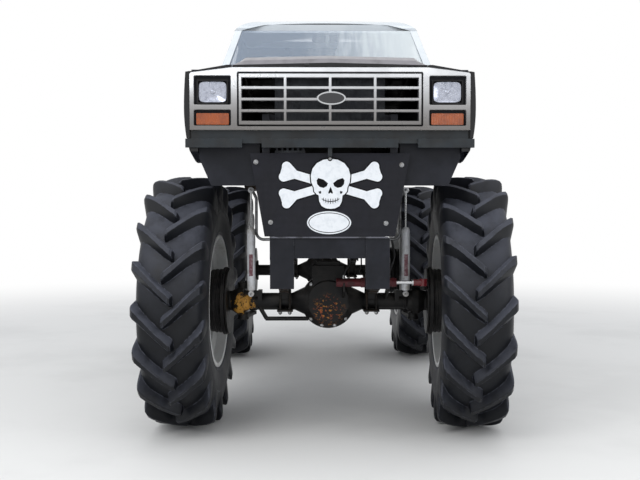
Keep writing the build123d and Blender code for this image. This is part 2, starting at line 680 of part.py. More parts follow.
with BuildPart() as posts:
    leg = (LEG_X - LEG_WIDTH / 2, LEG_X + LEG_WIDTH / 2)
    leg_back = LADDER_FRONT
    leg_front = LADDER_FRONT - LEG_DEPTH
    block(leg, (leg_front, leg_back), (LEG_BOTTOM, LOWER_RAIL_TOP))
    block(
        (leg[0] + HANGER_SHEET, leg[1] - HANGER_SHEET),
        (leg_front + HANGER_SHEET, leg_back + 1),
        (LEG_BOTTOM - 1, lower_low),
        mode=Mode.SUBTRACT,
    )
    eye = WHEELBASE - SPRING_HALF_LENGTH
    for x in (LOWER_RAIL_X - LEAF_WIDTH / 2 - SHACKLE_SHEET - 2, LOWER_RAIL_X + LEAF_WIDTH / 2 + 2):
        with BuildSketch(side_plane(x)):
            Polygon(
                (eye - HANGER_HALF_TOP, lower_low),
                (eye - HANGER_HALF_LOW, EYE_Z - HANGER_HALF_LOW),
                (eye + HANGER_HALF_LOW, EYE_Z - HANGER_HALF_LOW),
                (eye + HANGER_HALF_TOP, lower_low),
                align=None,
            )
        extrude(amount=SHACKLE_SHEET)
    for distance in (0, WHEELBASE):
        pin = distance + SPRING_HALF_LENGTH + SHACKLE_LEAN
        across = (LOWER_RAIL_X - LEAF_WIDTH / 2, LOWER_RAIL_X + LEAF_WIDTH / 2)
        along = (pin - SHACKLE_HALF - 2, pin + SHACKLE_HALF + 2)
        block(across, along, (SHACKLE_TOP_Z - SHACKLE_HALF, lower_low))
    for place in (FRAME_FRONT + POST_DEPTH / 2, *POST_PLACES):
        with BuildSketch(cross_plane(place + POST_DEPTH / 2)):
            Polygon(
                (lower_inner_x, LOWER_RAIL_TOP),
                (lower_outer_x, LOWER_RAIL_TOP),
                (upper_outer_x, upper_low),
                (upper_inner_x, upper_low),
                align=None,
            )
        extrude(amount=POST_DEPTH)
    mirror(about=Plane.YZ)
write(posts, "frame_posts")

# The wide plate between the front posts

PLATE_TOP_Z = 2034.0
PLATE_LOW_Z = 1461.0
PLATE_TOP_WIDTH = 1100.0
PLATE_LOW_WIDTH = 900.0
PLATE_SHEET = 8.0

with BuildPart() as front_plate:
    with BuildSketch(cross_plane(FRAME_FRONT)):
        Polygon(
            (-PLATE_LOW_WIDTH / 2, PLATE_LOW_Z),
            (PLATE_LOW_WIDTH / 2, PLATE_LOW_Z),
            (PLATE_TOP_WIDTH / 2, PLATE_TOP_Z),
            (-PLATE_TOP_WIDTH / 2, PLATE_TOP_Z),
            align=None,
        )
    extrude(amount=PLATE_SHEET)
write(front_plate, "front_plate")

# Shock absorbers and the bent hoops that hold their upper eyes

HOOP_RADIUS = 11.0
HOOP_OFFSET = SHOCK_OFFSET - 45.0
HOOP_BEND = 55.0
SHOCK_BODY = 405.0
SHOCK_SLEEVE = 95.0
SHOCK_RADIUS = 31.0
SHOCK_ROD_RADIUS = 9.0
HOOP_FOOT_Z = LOWER_RAIL_TOP - 28
HOOP_X = SHOCK_X - 37

with BuildPart() as shocks:
    for distance, toward in ((0, -1), (WHEELBASE, 1)):
        place = distance + toward * SHOCK_OFFSET
        for z in (SHOCK_LOW_Z, SHOCK_HIGH_Z):
            bar((SHOCK_X, place - SHOCK_EYE, z), (SHOCK_X, place + SHOCK_EYE, z), SHOCK_EYE_RADIUS)
        sleeve_z = SHOCK_LOW_Z + SHOCK_BODY
        for low, high, radius in (
            (SHOCK_LOW_Z + 10, sleeve_z, SHOCK_RADIUS),
            (sleeve_z, sleeve_z + SHOCK_SLEEVE, SHOCK_RADIUS - 4),
            (sleeve_z + SHOCK_SLEEVE - 15, SHOCK_HIGH_Z, SHOCK_ROD_RADIUS),
        ):
            bar((SHOCK_X, place, low), (SHOCK_X, place, high), radius)
    mirror(about=Plane.YZ)
write(shocks, "shock_absorbers")

with BuildPart() as hoops:
    for distance, toward in ((0, -1), (WHEELBASE, 1)):
        place = distance + toward * HOOP_OFFSET
        with BuildLine() as bend:
            FilletPolyline(
                (lower_outer_x, back(place), HOOP_FOOT_Z),
                (HOOP_X, back(place), HOOP_FOOT_Z),
                (HOOP_X, back(place), SHOCK_HIGH_Z - 60),
                (SHOCK_X, back(place), SHOCK_HIGH_Z + 12),
                radius=HOOP_BEND,
            )
        with BuildSketch(Plane(origin=bend.line @ 0, z_dir=bend.line % 0)):
            Circle(HOOP_RADIUS)
        sweep(path=bend.line)
        eye_face = distance + toward * (SHOCK_OFFSET - SHOCK_EYE)
        bar((SHOCK_X, place, SHOCK_HIGH_Z), (SHOCK_X, eye_face, SHOCK_HIGH_Z), SHOCK_ROD_RADIUS)
    mirror(about=Plane.YZ)
write(hoops, "shock_hoops")

# Driveline, exhaust, tank and cooling

ENGINE_HALF = 300.0
ENGINE_ALONG = (-380.0, 420.0)
ENGINE_Z = (1860.0, 2480.0)
GEARBOX_HALF = 150.0
GEARBOX_Z = (1842.0, 1965.0)
TRANSFER_HALF = 190.0
TRANSFER_ALONG = (1400.0, 1700.0)
TRANSFER_LOW = 1640.0
SHAFT_Z = 1720.0
SHAFT_RADIUS = 38.0
YOKE_RADIUS = 58.0

with BuildPart() as engine:
    block((-ENGINE_HALF, ENGINE_HALF), ENGINE_ALONG, ENGINE_Z)
    block((-GEARBOX_HALF, GEARBOX_HALF), (ENGINE_ALONG[1], TRANSFER_ALONG[0]), GEARBOX_Z)
    block((-TRANSFER_HALF, TRANSFER_HALF), TRANSFER_ALONG, (TRANSFER_LOW, GEARBOX_Z[1]))
write(engine, "engine")

YOKE_LENGTH = 60.0
SHAFT_GAP = 2.0

with BuildPart() as shafts:
    for axle, face, way in ((0, TRANSFER_ALONG[0], 1), (WHEELBASE, TRANSFER_ALONG[1], -1)):
        low = axle + way * (PINION_REACH + SHAFT_GAP)
        high = face - way * SHAFT_GAP
        yoke = way * YOKE_LENGTH
        bar((0, low + yoke / 2, PINION_Z), (0, high - yoke / 2, SHAFT_Z), SHAFT_RADIUS)
        bar((0, low, PINION_Z), (0, low + yoke, PINION_Z), YOKE_RADIUS)
        bar((0, high, SHAFT_Z), (0, high - yoke, SHAFT_Z), YOKE_RADIUS)
write(shafts, "drive_shafts")

EXHAUST_X = 345.0
EXHAUST_RUNS = (
    # start, end, height, radius
    (300.0, 1950.0, 1745.0, 30.0),
    (1950.0, 2400.0, 1715.0, 76.0),
    (2400.0, 2660.0, 1745.0, 30.0),
)

with BuildPart() as exhaust:
    for start, end, z, radius in EXHAUST_RUNS:
        bar((EXHAUST_X, start, z), (EXHAUST_X, end, z), radius)
write(exhaust, "exhaust")

TANK_X = (-785.0, -490.0)
TANK_ALONG = (2000.0, 2760.0)
TANK_Z = (1830.0, 2040.0)
TANK_CORNER = 40.0

with BuildPart() as tank:
    block(TANK_X, TANK_ALONG, TANK_Z)
    fillet(edges().filter_by(Axis.Y), TANK_CORNER)
write(tank, "fuel_tank")

RADIATOR_HALF = 380.0
RADIATOR_ALONG = (-650.0, -590.0)
RADIATOR_Z = (2090.0, 2560.0)
COOLER_TUBES = 6
COOLER_PITCH = 36.0
COOLER_RADIUS = 9.0
COOLER_X = (-380.0, -170.0)
COOLER_PLACE = -672.0
COOLER_Z = (2035.0, 2175.0)
COOLER_BARS = ((2160.0, 2180.0), (2035.0, 2052.0))
COOLER_BAR_HALF = 12.0

with BuildPart() as radiator:
    block((-RADIATOR_HALF, RADIATOR_HALF), RADIATOR_ALONG, RADIATOR_Z)
    with Locations(((COOLER_X[0] + COOLER_X[1]) / 2, back(COOLER_PLACE), COOLER_Z[0])):
        with GridLocations(COOLER_PITCH, 1, COOLER_TUBES, 1):
            Cylinder(COOLER_RADIUS, COOLER_Z[1] - COOLER_Z[0], align=STANDING)
    for z in COOLER_BARS:
        block(COOLER_X, (COOLER_PLACE - COOLER_BAR_HALF, COOLER_PLACE + COOLER_BAR_HALF), z)
write(radiator, "radiator_and_cooler")

# Front of the body: header, grille, lamps, valance and the dark support behind them

HEADER_FACE = -760.0
HEADER_BACK = -715.0
HEADER_FALL = 36.0
GRILLE_HALF_WIDTH = 620.0
GRILLE_LOW = 2223.0
GRILLE_TOP = 2568.0
GRILLE_GAP = 12.0
LAMP_X = 799.0
RECESS_HALF = 126.0
LAMP_RECESS_Z = (2357.0, 2555.0)
SIGNAL_RECESS_Z = (2216.0, 2324.0)
HEADER_CORNER = 16.0
RECESS_CORNER = 10.0


def in_opening(edge):
    """Whether an edge is a corner of the grille's or a lamp's opening, and not of the top."""
    x = abs(edge.center().X)
    return x < GRILLE_HALF_WIDTH + GRILLE_GAP + 1 or HOOD_HALF_WIDTH + 1 < x < LAMP_X + RECESS_HALF + 1

with BuildPart() as header:
    with BuildSketch(cross_plane(HEADER_BACK)):
        Polygon(
            (-HEADER_HALF_WIDTH, HEADER_LOW),
            (HEADER_HALF_WIDTH, HEADER_LOW),
            (HEADER_HALF_WIDTH, HEADER_TOP - HEADER_FALL),
            (HOOD_HALF_WIDTH, HEADER_TOP),
            (-HOOD_HALF_WIDTH, HEADER_TOP),
            (-HEADER_HALF_WIDTH, HEADER_TOP - HEADER_FALL),
            align=None,
        )
    extrude(amount=HEADER_BACK - HEADER_FACE)
    upper = edges().filter_by(Axis.Y).filter_by(lambda e: e.center().Z > HEADER_LOW + 1)
    fillet(upper.filter_by(lambda e: abs(e.center().X) > HOOD_HALF_WIDTH + 1), HEADER_CORNER)
    through = (HEADER_FACE - 1, HEADER_BACK + 1)
    gap_x = GRILLE_HALF_WIDTH + GRILLE_GAP
    gap_z = (GRILLE_LOW - GRILLE_GAP, GRILLE_TOP + GRILLE_GAP)
    block((-gap_x, gap_x), through, gap_z, mode=Mode.SUBTRACT)
    for side in (1, -1):
        recess = (side * LAMP_X - RECESS_HALF, side * LAMP_X + RECESS_HALF)
        for z in (LAMP_RECESS_Z, SIGNAL_RECESS_Z):
            block(recess, through, z, mode=Mode.SUBTRACT)
    fillet(edges().filter_by(Axis.Y).filter_by(in_opening), RECESS_CORNER)
write(header, "header_panel")

GRILLE_COLUMNS = 4
GRILLE_ROWS = 4
GRILLE_BAR = 17.0

with BuildPart() as grille:
    along = (HEADER_FACE + 4, HEADER_BACK + 2)
    block((-GRILLE_HALF_WIDTH, GRILLE_HALF_WIDTH), along, (GRILLE_LOW, GRILLE_TOP))
    pitch_x = (2 * GRILLE_HALF_WIDTH - GRILLE_BAR) / GRILLE_COLUMNS
    pitch_z = (GRILLE_TOP - GRILLE_LOW - GRILLE_BAR - 16) / GRILLE_ROWS
    with Locations((0, back(HEADER_FACE), (GRILLE_LOW + GRILLE_TOP) / 2)):
        with GridLocations(pitch_x, 1, GRILLE_COLUMNS, 1):
            with Locations(*((0, 0, (row - 1.5) * pitch_z) for row in range(GRILLE_ROWS))):
                Box(pitch_x - GRILLE_BAR, 200, pitch_z - GRILLE_BAR, mode=Mode.SUBTRACT)
write(grille, "grille")

SUPPORT_FACE = HEADER_BACK + 2
SUPPORT_BACK = SUPPORT_FACE + 13
SPLASH_PLACE = -648.0
SPLASH_SHEET = 6.0
SPLASH_INNER_X = 484.0
SPLASH_OUTER_X = FENDER_INNER_X - 3
SPLASH_LOW = 1812.0

SUPPORT_HALF = 945.0
SUPPORT_Z = (2192.0, 2600.0)
SUPPORT_WINDOW_HALF = 600.0
SUPPORT_WINDOW_Z = (2240.0, 2552.0)
FOOT_X = (upper_inner_x + 5, upper_outer_x - 5)
FOOT_TOP = 2230.0
FOOT_SHEET = 35.0
FOOT_DEPTH = 60.0
STAY_Z = (2240.0, 2300.0)
STAY_BACK = -600.0
SPLASH_CORNER = (820.0, 2000.0)
SPLASH_FLANGE = 12.0

with BuildPart() as support:
    block((-SUPPORT_HALF, SUPPORT_HALF), (SUPPORT_FACE, SUPPORT_BACK), SUPPORT_Z)
    window = (-SUPPORT_WINDOW_HALF, SUPPORT_WINDOW_HALF)
    block(window, (SUPPORT_FACE - 1, SUPPORT_BACK + 1), SUPPORT_WINDOW_Z, mode=Mode.SUBTRACT)
    flange_z = (SUPPORT_WINDOW_Z[0] - SPLASH_FLANGE, SUPPORT_WINDOW_Z[0])
    for side in (1, -1):
        foot_back = SUPPORT_BACK + FOOT_DEPTH
        side_block(side, FOOT_X, (SUPPORT_BACK + 12, foot_back), (UPPER_RAIL_TOP, FOOT_TOP))
        side_block(side, FOOT_X, (SUPPORT_BACK - 1, foot_back), (FOOT_TOP - FOOT_SHEET, FOOT_TOP))
        side_block(side, (RADIATOR_HALF, FOOT_X[1]), (RADIATOR_ALONG[0], STAY_BACK), STAY_Z)
        side_block(side, FOOT_X, (SUPPORT_BACK, STAY_BACK), STAY_Z)
        side_block(side, (SPLASH_INNER_X, SPLASH_OUTER_X), (SUPPORT_BACK - 1, SPLASH_PLACE), flange_z)
    # sheets that hang beside the front plate and keep the wheels' spray off the radiator
    with BuildSketch(cross_plane(SPLASH_PLACE)):
        Polygon(
            (SPLASH_INNER_X, flange_z[1]),
            (SPLASH_INNER_X, SPLASH_LOW),
            (SPLASH_CORNER[0], SPLASH_LOW),
            (SPLASH_OUTER_X, SPLASH_CORNER[1]),
            (SPLASH_OUTER_X, flange_z[1]),
            align=None,
        )
        mirror(about=Plane.YZ)
    extrude(amount=SPLASH_SHEET)
write(support, "radiator_support")

BEZEL_HALF = (107.5, 83.0)
BEZEL_CENTRE_Z = 2446.0
BEZEL_RIM = 11.0
LAMP_DEPTH = 34.0

BEZEL_CORNER = 14.0
LENS_SET_BACK = 6.0
LENS = (2 * (BEZEL_HALF[0] - BEZEL_RIM), 2 * (BEZEL_HALF[1] - BEZEL_RIM))
SIGNAL = (221.0, 78.0)
SIGNAL_DEPTH = 32.0
SIGNAL_CENTRE_Z = 2262.0
SIGNAL_CORNER = 8.0

with BuildPart() as bezels:
    places = [(side * LAMP_X, back(SUPPORT_FACE - LAMP_DEPTH / 2), BEZEL_CENTRE_Z) for side in (1, -1)]
    with Locations(*places):
        Box(2 * BEZEL_HALF[0], LAMP_DEPTH, 2 * BEZEL_HALF[1])
    fillet(edges().filter_by(Axis.Y), BEZEL_CORNER)
    with Locations(*places):
        Box(LENS[0], LAMP_DEPTH + 2, LENS[1], mode=Mode.SUBTRACT)
write(bezels, "headlamp_bezels")

with BuildPart() as lamps:
    lens_y = back(SUPPORT_FACE - (LAMP_DEPTH - LENS_SET_BACK) / 2)
    with Locations(*((side * LAMP_X, lens_y, BEZEL_CENTRE_Z) for side in (1, -1))):
        Box(LENS[0], LAMP_DEPTH - LENS_SET_BACK, LENS[1])
write(lamps, "headlamps")

with BuildPart() as signals:
    signal_y = back(SUPPORT_FACE - SIGNAL_DEPTH / 2)
    with Locations(*((side * LAMP_X, signal_y, SIGNAL_CENTRE_Z) for side in (1, -1))):
        Box(SIGNAL[0], SIGNAL_DEPTH, SIGNAL[1])
    fillet(edges().filter_by(Axis.Y), SIGNAL_CORNER)
write(signals, "turn_signals")

VALANCE_LOW = 2069.0
VALANCE_LIP_TOP = 2129.0
NOTCH_X = (465.0, 600.0)

NOTCH_BACK = -712.0
VALANCE_FACE = -748.0
VALANCE_HALF = 985.0
TAB_HALF = 14.0
TAB_Z = (2010.0, 2110.0)

with BuildPart() as valance:
    block((-VALANCE_HALF, VALANCE_HALF), (VALANCE_FACE, SUPPORT_FACE - 2), (VALANCE_LOW, VALANCE_LIP_TOP))
    notch_z = (VALANCE_LOW - 1, VALANCE_LIP_TOP + 1)
    for side in (1, -1):
        side_block(side, NOTCH_X, (VALANCE_FACE - 1, NOTCH_BACK), notch_z, mode=Mode.SUBTRACT)
    web_z = (VALANCE_LIP_TOP - 30, HEADER_LOW)
    block((-SUPPORT_HALF, SUPPORT_HALF), (SUPPORT_FACE - 10, SUPPORT_FACE - 2), web_z)
    block((-TAB_HALF, TAB_HALF), (SUPPORT_FACE - TAB_HALF, SUPPORT_FACE - 2), TAB_Z)
write(valance, "valance")

# Front fenders: a thick side under a narrow top that rises towards the cab

FENDER_BACK = DOOR_FRONT - DOOR_GAP
FENDER_TOP_SHEET = 30.0
FENDER_FRONT_SHEET = 62.0
FENDER_FALL = 62.0
FENDER_FALL_BACK = 18.0
FENDER_TOP_X = HOOD_HALF_WIDTH + 10


def fender_z(distance):
    """Height of the fender's top, which rises in a straight line to the belt."""
    share = (distance + FENDER_FRONT) / (FENDER_BACK + FENDER_FRONT)
    return FENDER_FRONT_Z + (BELT_Z - FENDER_FRONT_Z) * share


with BuildPart() as fender:
    with BuildSketch(cross_plane(FENDER_BACK)):
        side_face(FENDER_TOP_X)
    extrude(amount=FENDER_BACK + FENDER_FRONT)
    with BuildSketch(side_plane(0)):
        Polygon(
            (-FENDER_FRONT, 2060),
            (-520, 1985),
            (520, SILL_Z),
            (FENDER_BACK, SILL_Z),
            (FENDER_BACK, BELT_Z),
            (-FENDER_FRONT, FENDER_FRONT_Z),
            align=None,
        )
    extrude(amount=HALF_WIDTH + 50, mode=Mode.INTERSECT)
    with BuildSketch(side_plane(0)):
        Polygon(
            (-FENDER_FRONT - 1, 1800),
            (FENDER_BACK + 1, 1800),
            (FENDER_BACK + 1, BELT_Z - FENDER_TOP_SHEET),
            (-FENDER_FRONT - 1, FENDER_FRONT_Z - FENDER_FRONT_SHEET),
            align=None,
        )
    extrude(amount=FENDER_INNER_X, mode=Mode.SUBTRACT)
    arch_cut(0)
    # the top falls away towards the side, most at the front
    edge_x = HALF_WIDTH + 60
    with BuildSketch(cross_plane(-FENDER_FRONT - 2)) as front_wedge:
        z = fender_z(-FENDER_FRONT - 2)
        Polygon((700, z), (edge_x, z + 20), (edge_x, z - FENDER_FALL), align=None)
    with BuildSketch(cross_plane(FENDER_BACK + 2)) as back_wedge:
        z = fender_z(FENDER_BACK + 2)
        Polygon((860, z), (edge_x, z + 20), (edge_x, z - FENDER_FALL_BACK), align=None)
    loft([front_wedge.sketch, back_wedge.sketch], ruled=True, mode=Mode.SUBTRACT)
    # room for the hinge post, and for the header, the valance and the support behind them
    block((0, FENDER_INNER_X), (CAB_FRONT - 2, 700), (1800, 2800), mode=Mode.SUBTRACT)
    block((0, HEADER_HALF_WIDTH + 4), (-800, SUPPORT_BACK + 4), (1800, 2800), mode=Mode.SUBTRACT)
    block((0, 1100), (-800, SUPPORT_FACE + 2), (1800, VALANCE_LIP_TOP + 3), mode=Mode.SUBTRACT)
    mirror(about=Plane.YZ)
write(fender, "front_fenders")

# Hood: a raised centre between two sloping flanks, hollow underneath

HOOD_SHEET = 28.0
HOOD_RISE = {-735.0: 2645.0, -700.0: 2678.0, -600.0: 2712.0, -480.0: 2733.0, HOOD_REAR: 2800.0}
HOOD_DECK = 585.0


def hood_section(distance, centre_z, drop, inset):
    """One hood section; drop lowers its top and inset narrows it, for the hollow underneath."""
    edge_z = fender_z(distance) - 2 - drop
    low_z = max(edge_z - 42, HEADER_TOP + 8) if not inset else edge_z - 200
    half = HOOD_HALF_WIDTH - inset
    with BuildSketch(cross_plane(distance)) as section:
        Polygon(
            (-half, low_z),
            (half, low_z),
            (half, edge_z),
            (HOOD_DECK - inset / 2, centre_z - 14 - drop),
            (0, centre_z - drop),
            (-HOOD_DECK + inset / 2, centre_z - 14 - drop),
            (-half, edge_z),
            align=None,
        )
    return section.sketch


with BuildPart() as hood:
    loft([hood_section(place, z, 0, 0) for place, z in HOOD_RISE.items()], ruled=True)
    inner = {place: z for place, z in HOOD_RISE.items() if -720 < place < HOOD_REAR}
    inner[HOOD_REAR - 30] = HOOD_RISE[HOOD_REAR] - 2
    hollow = [hood_section(place, z, HOOD_SHEET, HOOD_SHEET) for place, z in inner.items()]
    loft(hollow, ruled=True, mode=Mode.SUBTRACT)
write(hood, "hood")

# Cab: floor, firewall, cowl, body sides, back panel, pillars and roof

HINGE_POST_BACK = 646.0
GREEN_BASE = 886.0
GREEN_TOP = 790.0
GREEN_TOP_Z = 3200.0
GREEN_WALL = 35.0
PILLAR_WIDTH = 58.0
COWL_FRONT = HOOD_REAR + 8
COWL_BACK = 640.0
COWL_Z = 2792.0
TUNNEL_HALF = 165.0
TUNNEL_BACK = 1200.0
TUNNEL_RISE = 60.0


def green_x(z, inset=0.0):
    """Half width of the window area at a height, inset from its outer face."""
    return GREEN_BASE - (GREEN_BASE - GREEN_TOP) * (z - BELT_Z) / (GREEN_TOP_Z - BELT_Z) - inset


def green_face(thickness, outer=0.0, low=BELT_Z, high=GREEN_TOP_Z):
    """The slanted wall of the window area, seen from the front."""
    Polygon(
        (green_x(low, outer + thickness), low),
        (green_x(low, outer), low),
        (green_x(high, outer), high),
        (green_x(high, outer + thickness), high),
        align=None,
    )


with BuildPart() as cab_floor:
    across = (-SIDE_INNER_X + 1, SIDE_INNER_X - 1)
    block(across, (CAB_FRONT, CAB_BACK - CAB_WALL), (FLOOR_Z - FLOOR_SHEET, FLOOR_Z))
    block((-TUNNEL_HALF, TUNNEL_HALF), (CAB_FRONT, TUNNEL_BACK), (FLOOR_Z, FLOOR_Z + TUNNEL_RISE))
    with BuildSketch(cross_plane(CAB_BACK)):
        side_face(SIDE_INNER_X - 1, high=DOOR_SILL_Z)
    extrude(amount=CAB_BACK - FENDER_BACK - DOOR_GAP)
    mirror(about=Plane.YZ)
write(cab_floor, "cab_floor")

with BuildPart() as firewall:
    block((-SIDE_INNER_X, SIDE_INNER_X), (560, CAB_FRONT), (FLOOR_Z - FLOOR_SHEET, BELT_Z - 45))
    block((-FENDER_TOP_X + 5, FENDER_TOP_X - 5), (560, CAB_FRONT), (BELT_Z - 46, COWL_Z - 27))
    for side in (1, -1):
        post = sorted((side * (SIDE_INNER_X - 1), side * (FENDER_INNER_X - 3)))
        block(post, (560, HINGE_POST_BACK), (SILL_Z + 100, BELT_Z - 45))
        block(post, (CAB_FRONT, HINGE_POST_BACK), (BELT_Z - 46, BELT_Z))
    block((-FENDER_TOP_X + 5, FENDER_TOP_X - 5), (COWL_FRONT, COWL_BACK - 2), (COWL_Z - 27, COWL_Z))
write(firewall, "firewall")

with BuildPart() as cab_sides:
    with BuildSketch(cross_plane(CAB_BACK)):
        side_face(SIDE_INNER_X, low=DOOR_SILL_Z)
    extrude(amount=CAB_BACK - DOOR_REAR)
    with BuildSketch(cross_plane(CAB_BACK)):
        green_face(GREEN_WALL + 5)
    extrude(amount=CAB_BACK - DOOR_REAR + 10)
    mirror(about=Plane.YZ)
write(cab_sides, "cab_sides")

with BuildPart() as pillars:
    with BuildSketch(cross_plane(1300)):
        green_face(PILLAR_WIDTH)
    extrude(amount=800)
    with BuildSketch(side_plane(0)):
        Polygon((602, BELT_Z), (688, BELT_Z), (1136, GREEN_TOP_Z), (1050, GREEN_TOP_Z), align=None)
    extrude(amount=1000, mode=Mode.INTERSECT)
    mirror(about=Plane.YZ)
write(pillars, "windshield_pillars")

REAR_WINDOW = ((-610.0, 2850.0), (610.0, 2850.0), (560.0, 3120.0), (-560.0, 3120.0))

with BuildPart() as cab_back:
    with BuildSketch(cross_plane(CAB_BACK)):
        with BuildLine():
            lower = SIDE_INNER_X - 1
            shoulder = green_x(BELT_Z, GREEN_WALL + 6)
            crown = green_x(GREEN_TOP_Z, GREEN_WALL + 6)
            Polyline(
                (-lower, FLOOR_Z - FLOOR_SHEET),
                (lower, FLOOR_Z - FLOOR_SHEET),
                (lower, BELT_Z),
                (shoulder, BELT_Z),
                (crown, GREEN_TOP_Z),
                (-crown, GREEN_TOP_Z),
                (-shoulder, BELT_Z),
                (-lower, BELT_Z),
                close=True,
            )
        make_face()
        Polygon(*REAR_WINDOW, align=None, mode=Mode.SUBTRACT)
    extrude(amount=CAB_WALL)
write(cab_back, "cab_back")

ROOF_SHEET = 42.0
ROOF_FRONT = 1052.0

ROOF_BEND_X = 540.0
ROOF_CAMBER = 22.0
GUTTER_X = GREEN_TOP + 6
GUTTER_Z = GREEN_TOP_Z + 1
ROOF_HEADER_HALF = 720.0
ROOF_HEADER_TOP = 3262.0

with BuildPart() as roof:
    with BuildSketch(cross_plane(CAB_BACK)):
        with BuildLine():
            outer_z, inner_z = ROOF_Z - ROOF_CAMBER, ROOF_Z - ROOF_SHEET - ROOF_CAMBER
            ThreePointArc((-ROOF_BEND_X, outer_z), (0, ROOF_Z), (ROOF_BEND_X, outer_z))
            ThreePointArc((ROOF_BEND_X, outer_z), (718, ROOF_Z - 54), (GUTTER_X, GUTTER_Z))
            Polyline((GUTTER_X, GUTTER_Z), (GREEN_TOP - PILLAR_WIDTH, GUTTER_Z), (ROOF_BEND_X, inner_z))
            ThreePointArc((ROOF_BEND_X, inner_z), (0, inner_z + ROOF_CAMBER), (-ROOF_BEND_X, inner_z))
            Polyline((-ROOF_BEND_X, inner_z), (-GREEN_TOP + PILLAR_WIDTH, GUTTER_Z), (-GUTTER_X, GUTTER_Z))
            ThreePointArc((-GUTTER_X, GUTTER_Z), (-718, ROOF_Z - 54), (-ROOF_BEND_X, outer_z))
        make_face()
    extrude(amount=CAB_BACK - ROOF_FRONT)
    # the header over the windshield, then the front slope and the fall to the back
    header_x = (-ROOF_HEADER_HALF, ROOF_HEADER_HALF)
    block(header_x, (ROOF_FRONT + 48, ROOF_FRONT + 88), (GREEN_TOP_Z - 10, ROOF_HEADER_TOP))
    block(header_x, (CAB_BACK - CAB_WALL, CAB_BACK), (GUTTER_Z, ROOF_HEADER_TOP))
    with BuildSketch(side_plane(-900)):
        with BuildLine():
            Line((ROOF_FRONT, 3100), (ROOF_FRONT, 3222))
            ThreePointArc((ROOF_FRONT, 3222), (1150, 3290), (1400, ROOF_Z))
            Line((1400, ROOF_Z), (1700, ROOF_Z))
            ThreePointArc((1700, ROOF_Z), (1850, ROOF_Z - 8), (CAB_BACK, ROOF_Z - 34))
            Polyline((CAB_BACK, ROOF_Z - 34), (CAB_BACK, 3100), (ROOF_FRONT, 3100))
        make_face()
    extrude(amount=1800, mode=Mode.INTERSECT)
write(roof, "roof")

with BuildPart() as windshield:
    with BuildSketch(side_plane(-900)):
        Polygon((644, COWL_Z), (652, COWL_Z), (1094, 3238), (1086, 3238), align=None)
    extrude(amount=1800)
    with BuildSketch(cross_plane(1200)):
        edge = PILLAR_WIDTH + 2
        Polygon(
            (-green_x(COWL_Z, edge), COWL_Z),
            (green_x(COWL_Z, edge), COWL_Z),
            (green_x(GREEN_TOP_Z, edge), GREEN_TOP_Z - 2),
            (-green_x(GREEN_TOP_Z, edge), GREEN_TOP_Z - 2),
            align=None,
        )
    extrude(amount=700, mode=Mode.INTERSECT)
with BuildPart() as cab_glass:
    with BuildSketch(cross_plane(CAB_BACK - CAB_WALL / 2)):
        Polygon(*REAR_WINDOW, align=None)
    extrude(amount=GLASS)
    add(windshield.part)
write(cab_glass, "cab_glass")

# Doors, each with a hollow window frame

DOOR_WINDOW = ((780.0, BELT_Z + 20), (1582.0, BELT_Z + 20), (1582.0, 3140.0), (1148.0, 3140.0))
LATCH_STEP = 50.0
HINGE_STEP = 6.0

with BuildPart() as door:
    with BuildSketch(cross_plane(DOOR_REAR)):
        side_face(SIDE_INNER_X, low=DOOR_SILL_Z + DOOR_GAP)
        green_face(GREEN_WALL, high=GREEN_TOP_Z - 12)
    extrude(amount=DOOR_REAR - DOOR_FRONT)
    with BuildSketch(side_plane(0)):
        Polygon(
            (DOOR_FRONT + 2, DOOR_SILL_Z),
            (DOOR_REAR - DOOR_REAR_GAP, DOOR_SILL_Z),
            (DOOR_REAR - DOOR_REAR_GAP, BELT_Z),
            (DOOR_REAR - 26, BELT_Z),
            (DOOR_REAR - 26, GREEN_TOP_Z),
            (1136 + 18, GREEN_TOP_Z),
            (688 + 18, BELT_Z),
            (DOOR_FRONT + 2, BELT_Z),
            align=None,
        )
    extrude(amount=HALF_WIDTH + 50, mode=Mode.INTERSECT)
    with BuildSketch(side_plane(0)):
        Polygon(*DOOR_WINDOW, align=None)
    extrude(amount=HALF_WIDTH + 50, mode=Mode.SUBTRACT)
    inner = SIDE_INNER_X - 1
    latch = (DOOR_REAR - LATCH_STEP, DOOR_REAR)
    block((inner, FENDER_INNER_X + 20), latch, (DOOR_SILL_Z, BELT_Z - 1), mode=Mode.SUBTRACT)
    hinge = (DOOR_FRONT, DOOR_FRONT + HINGE_STEP)
    block((inner, FENDER_INNER_X), hinge, (DOOR_SILL_Z, BELT_Z), mode=Mode.SUBTRACT)

with BuildPart() as door_glass:
    with BuildSketch(cross_plane(DOOR_REAR)):
        green_face(GLASS, outer=14)
    extrude(amount=DOOR_REAR - DOOR_FRONT)
    with BuildSketch(side_plane(0)):
        Polygon(*DOOR_WINDOW, align=None)
    extrude(amount=HALF_WIDTH + 50, mode=Mode.INTERSECT)

for made, label in ((door, "door"), (door_glass, "door_glass")):
    write(made, f"{label}_left")
    other = mirror(made.part, about=Plane.YZ)
    other.label = f"{label}_right"
    export_step(other, f"parts/{label}_right.step")

# Inside the cab

SEAT_BASE_HALF = 640.0
SEAT_HALF = 660.0
SEAT_BACK_PLACE = 1760.0
SEAT_BASE_TOP = 2200.0
CUSHION_TOP = 2340.0
BACKREST = ((1660.0, 2300.0), (1790.0, 2340.0), (1880.0, 2850.0), (1770.0, 2860.0))
DASH_HALF = 835.0
DASH_SECTION = ((820.0, 2420.0), (860.0, 2560.0), (830.0, 2690.0), (700.0, 2730.0))

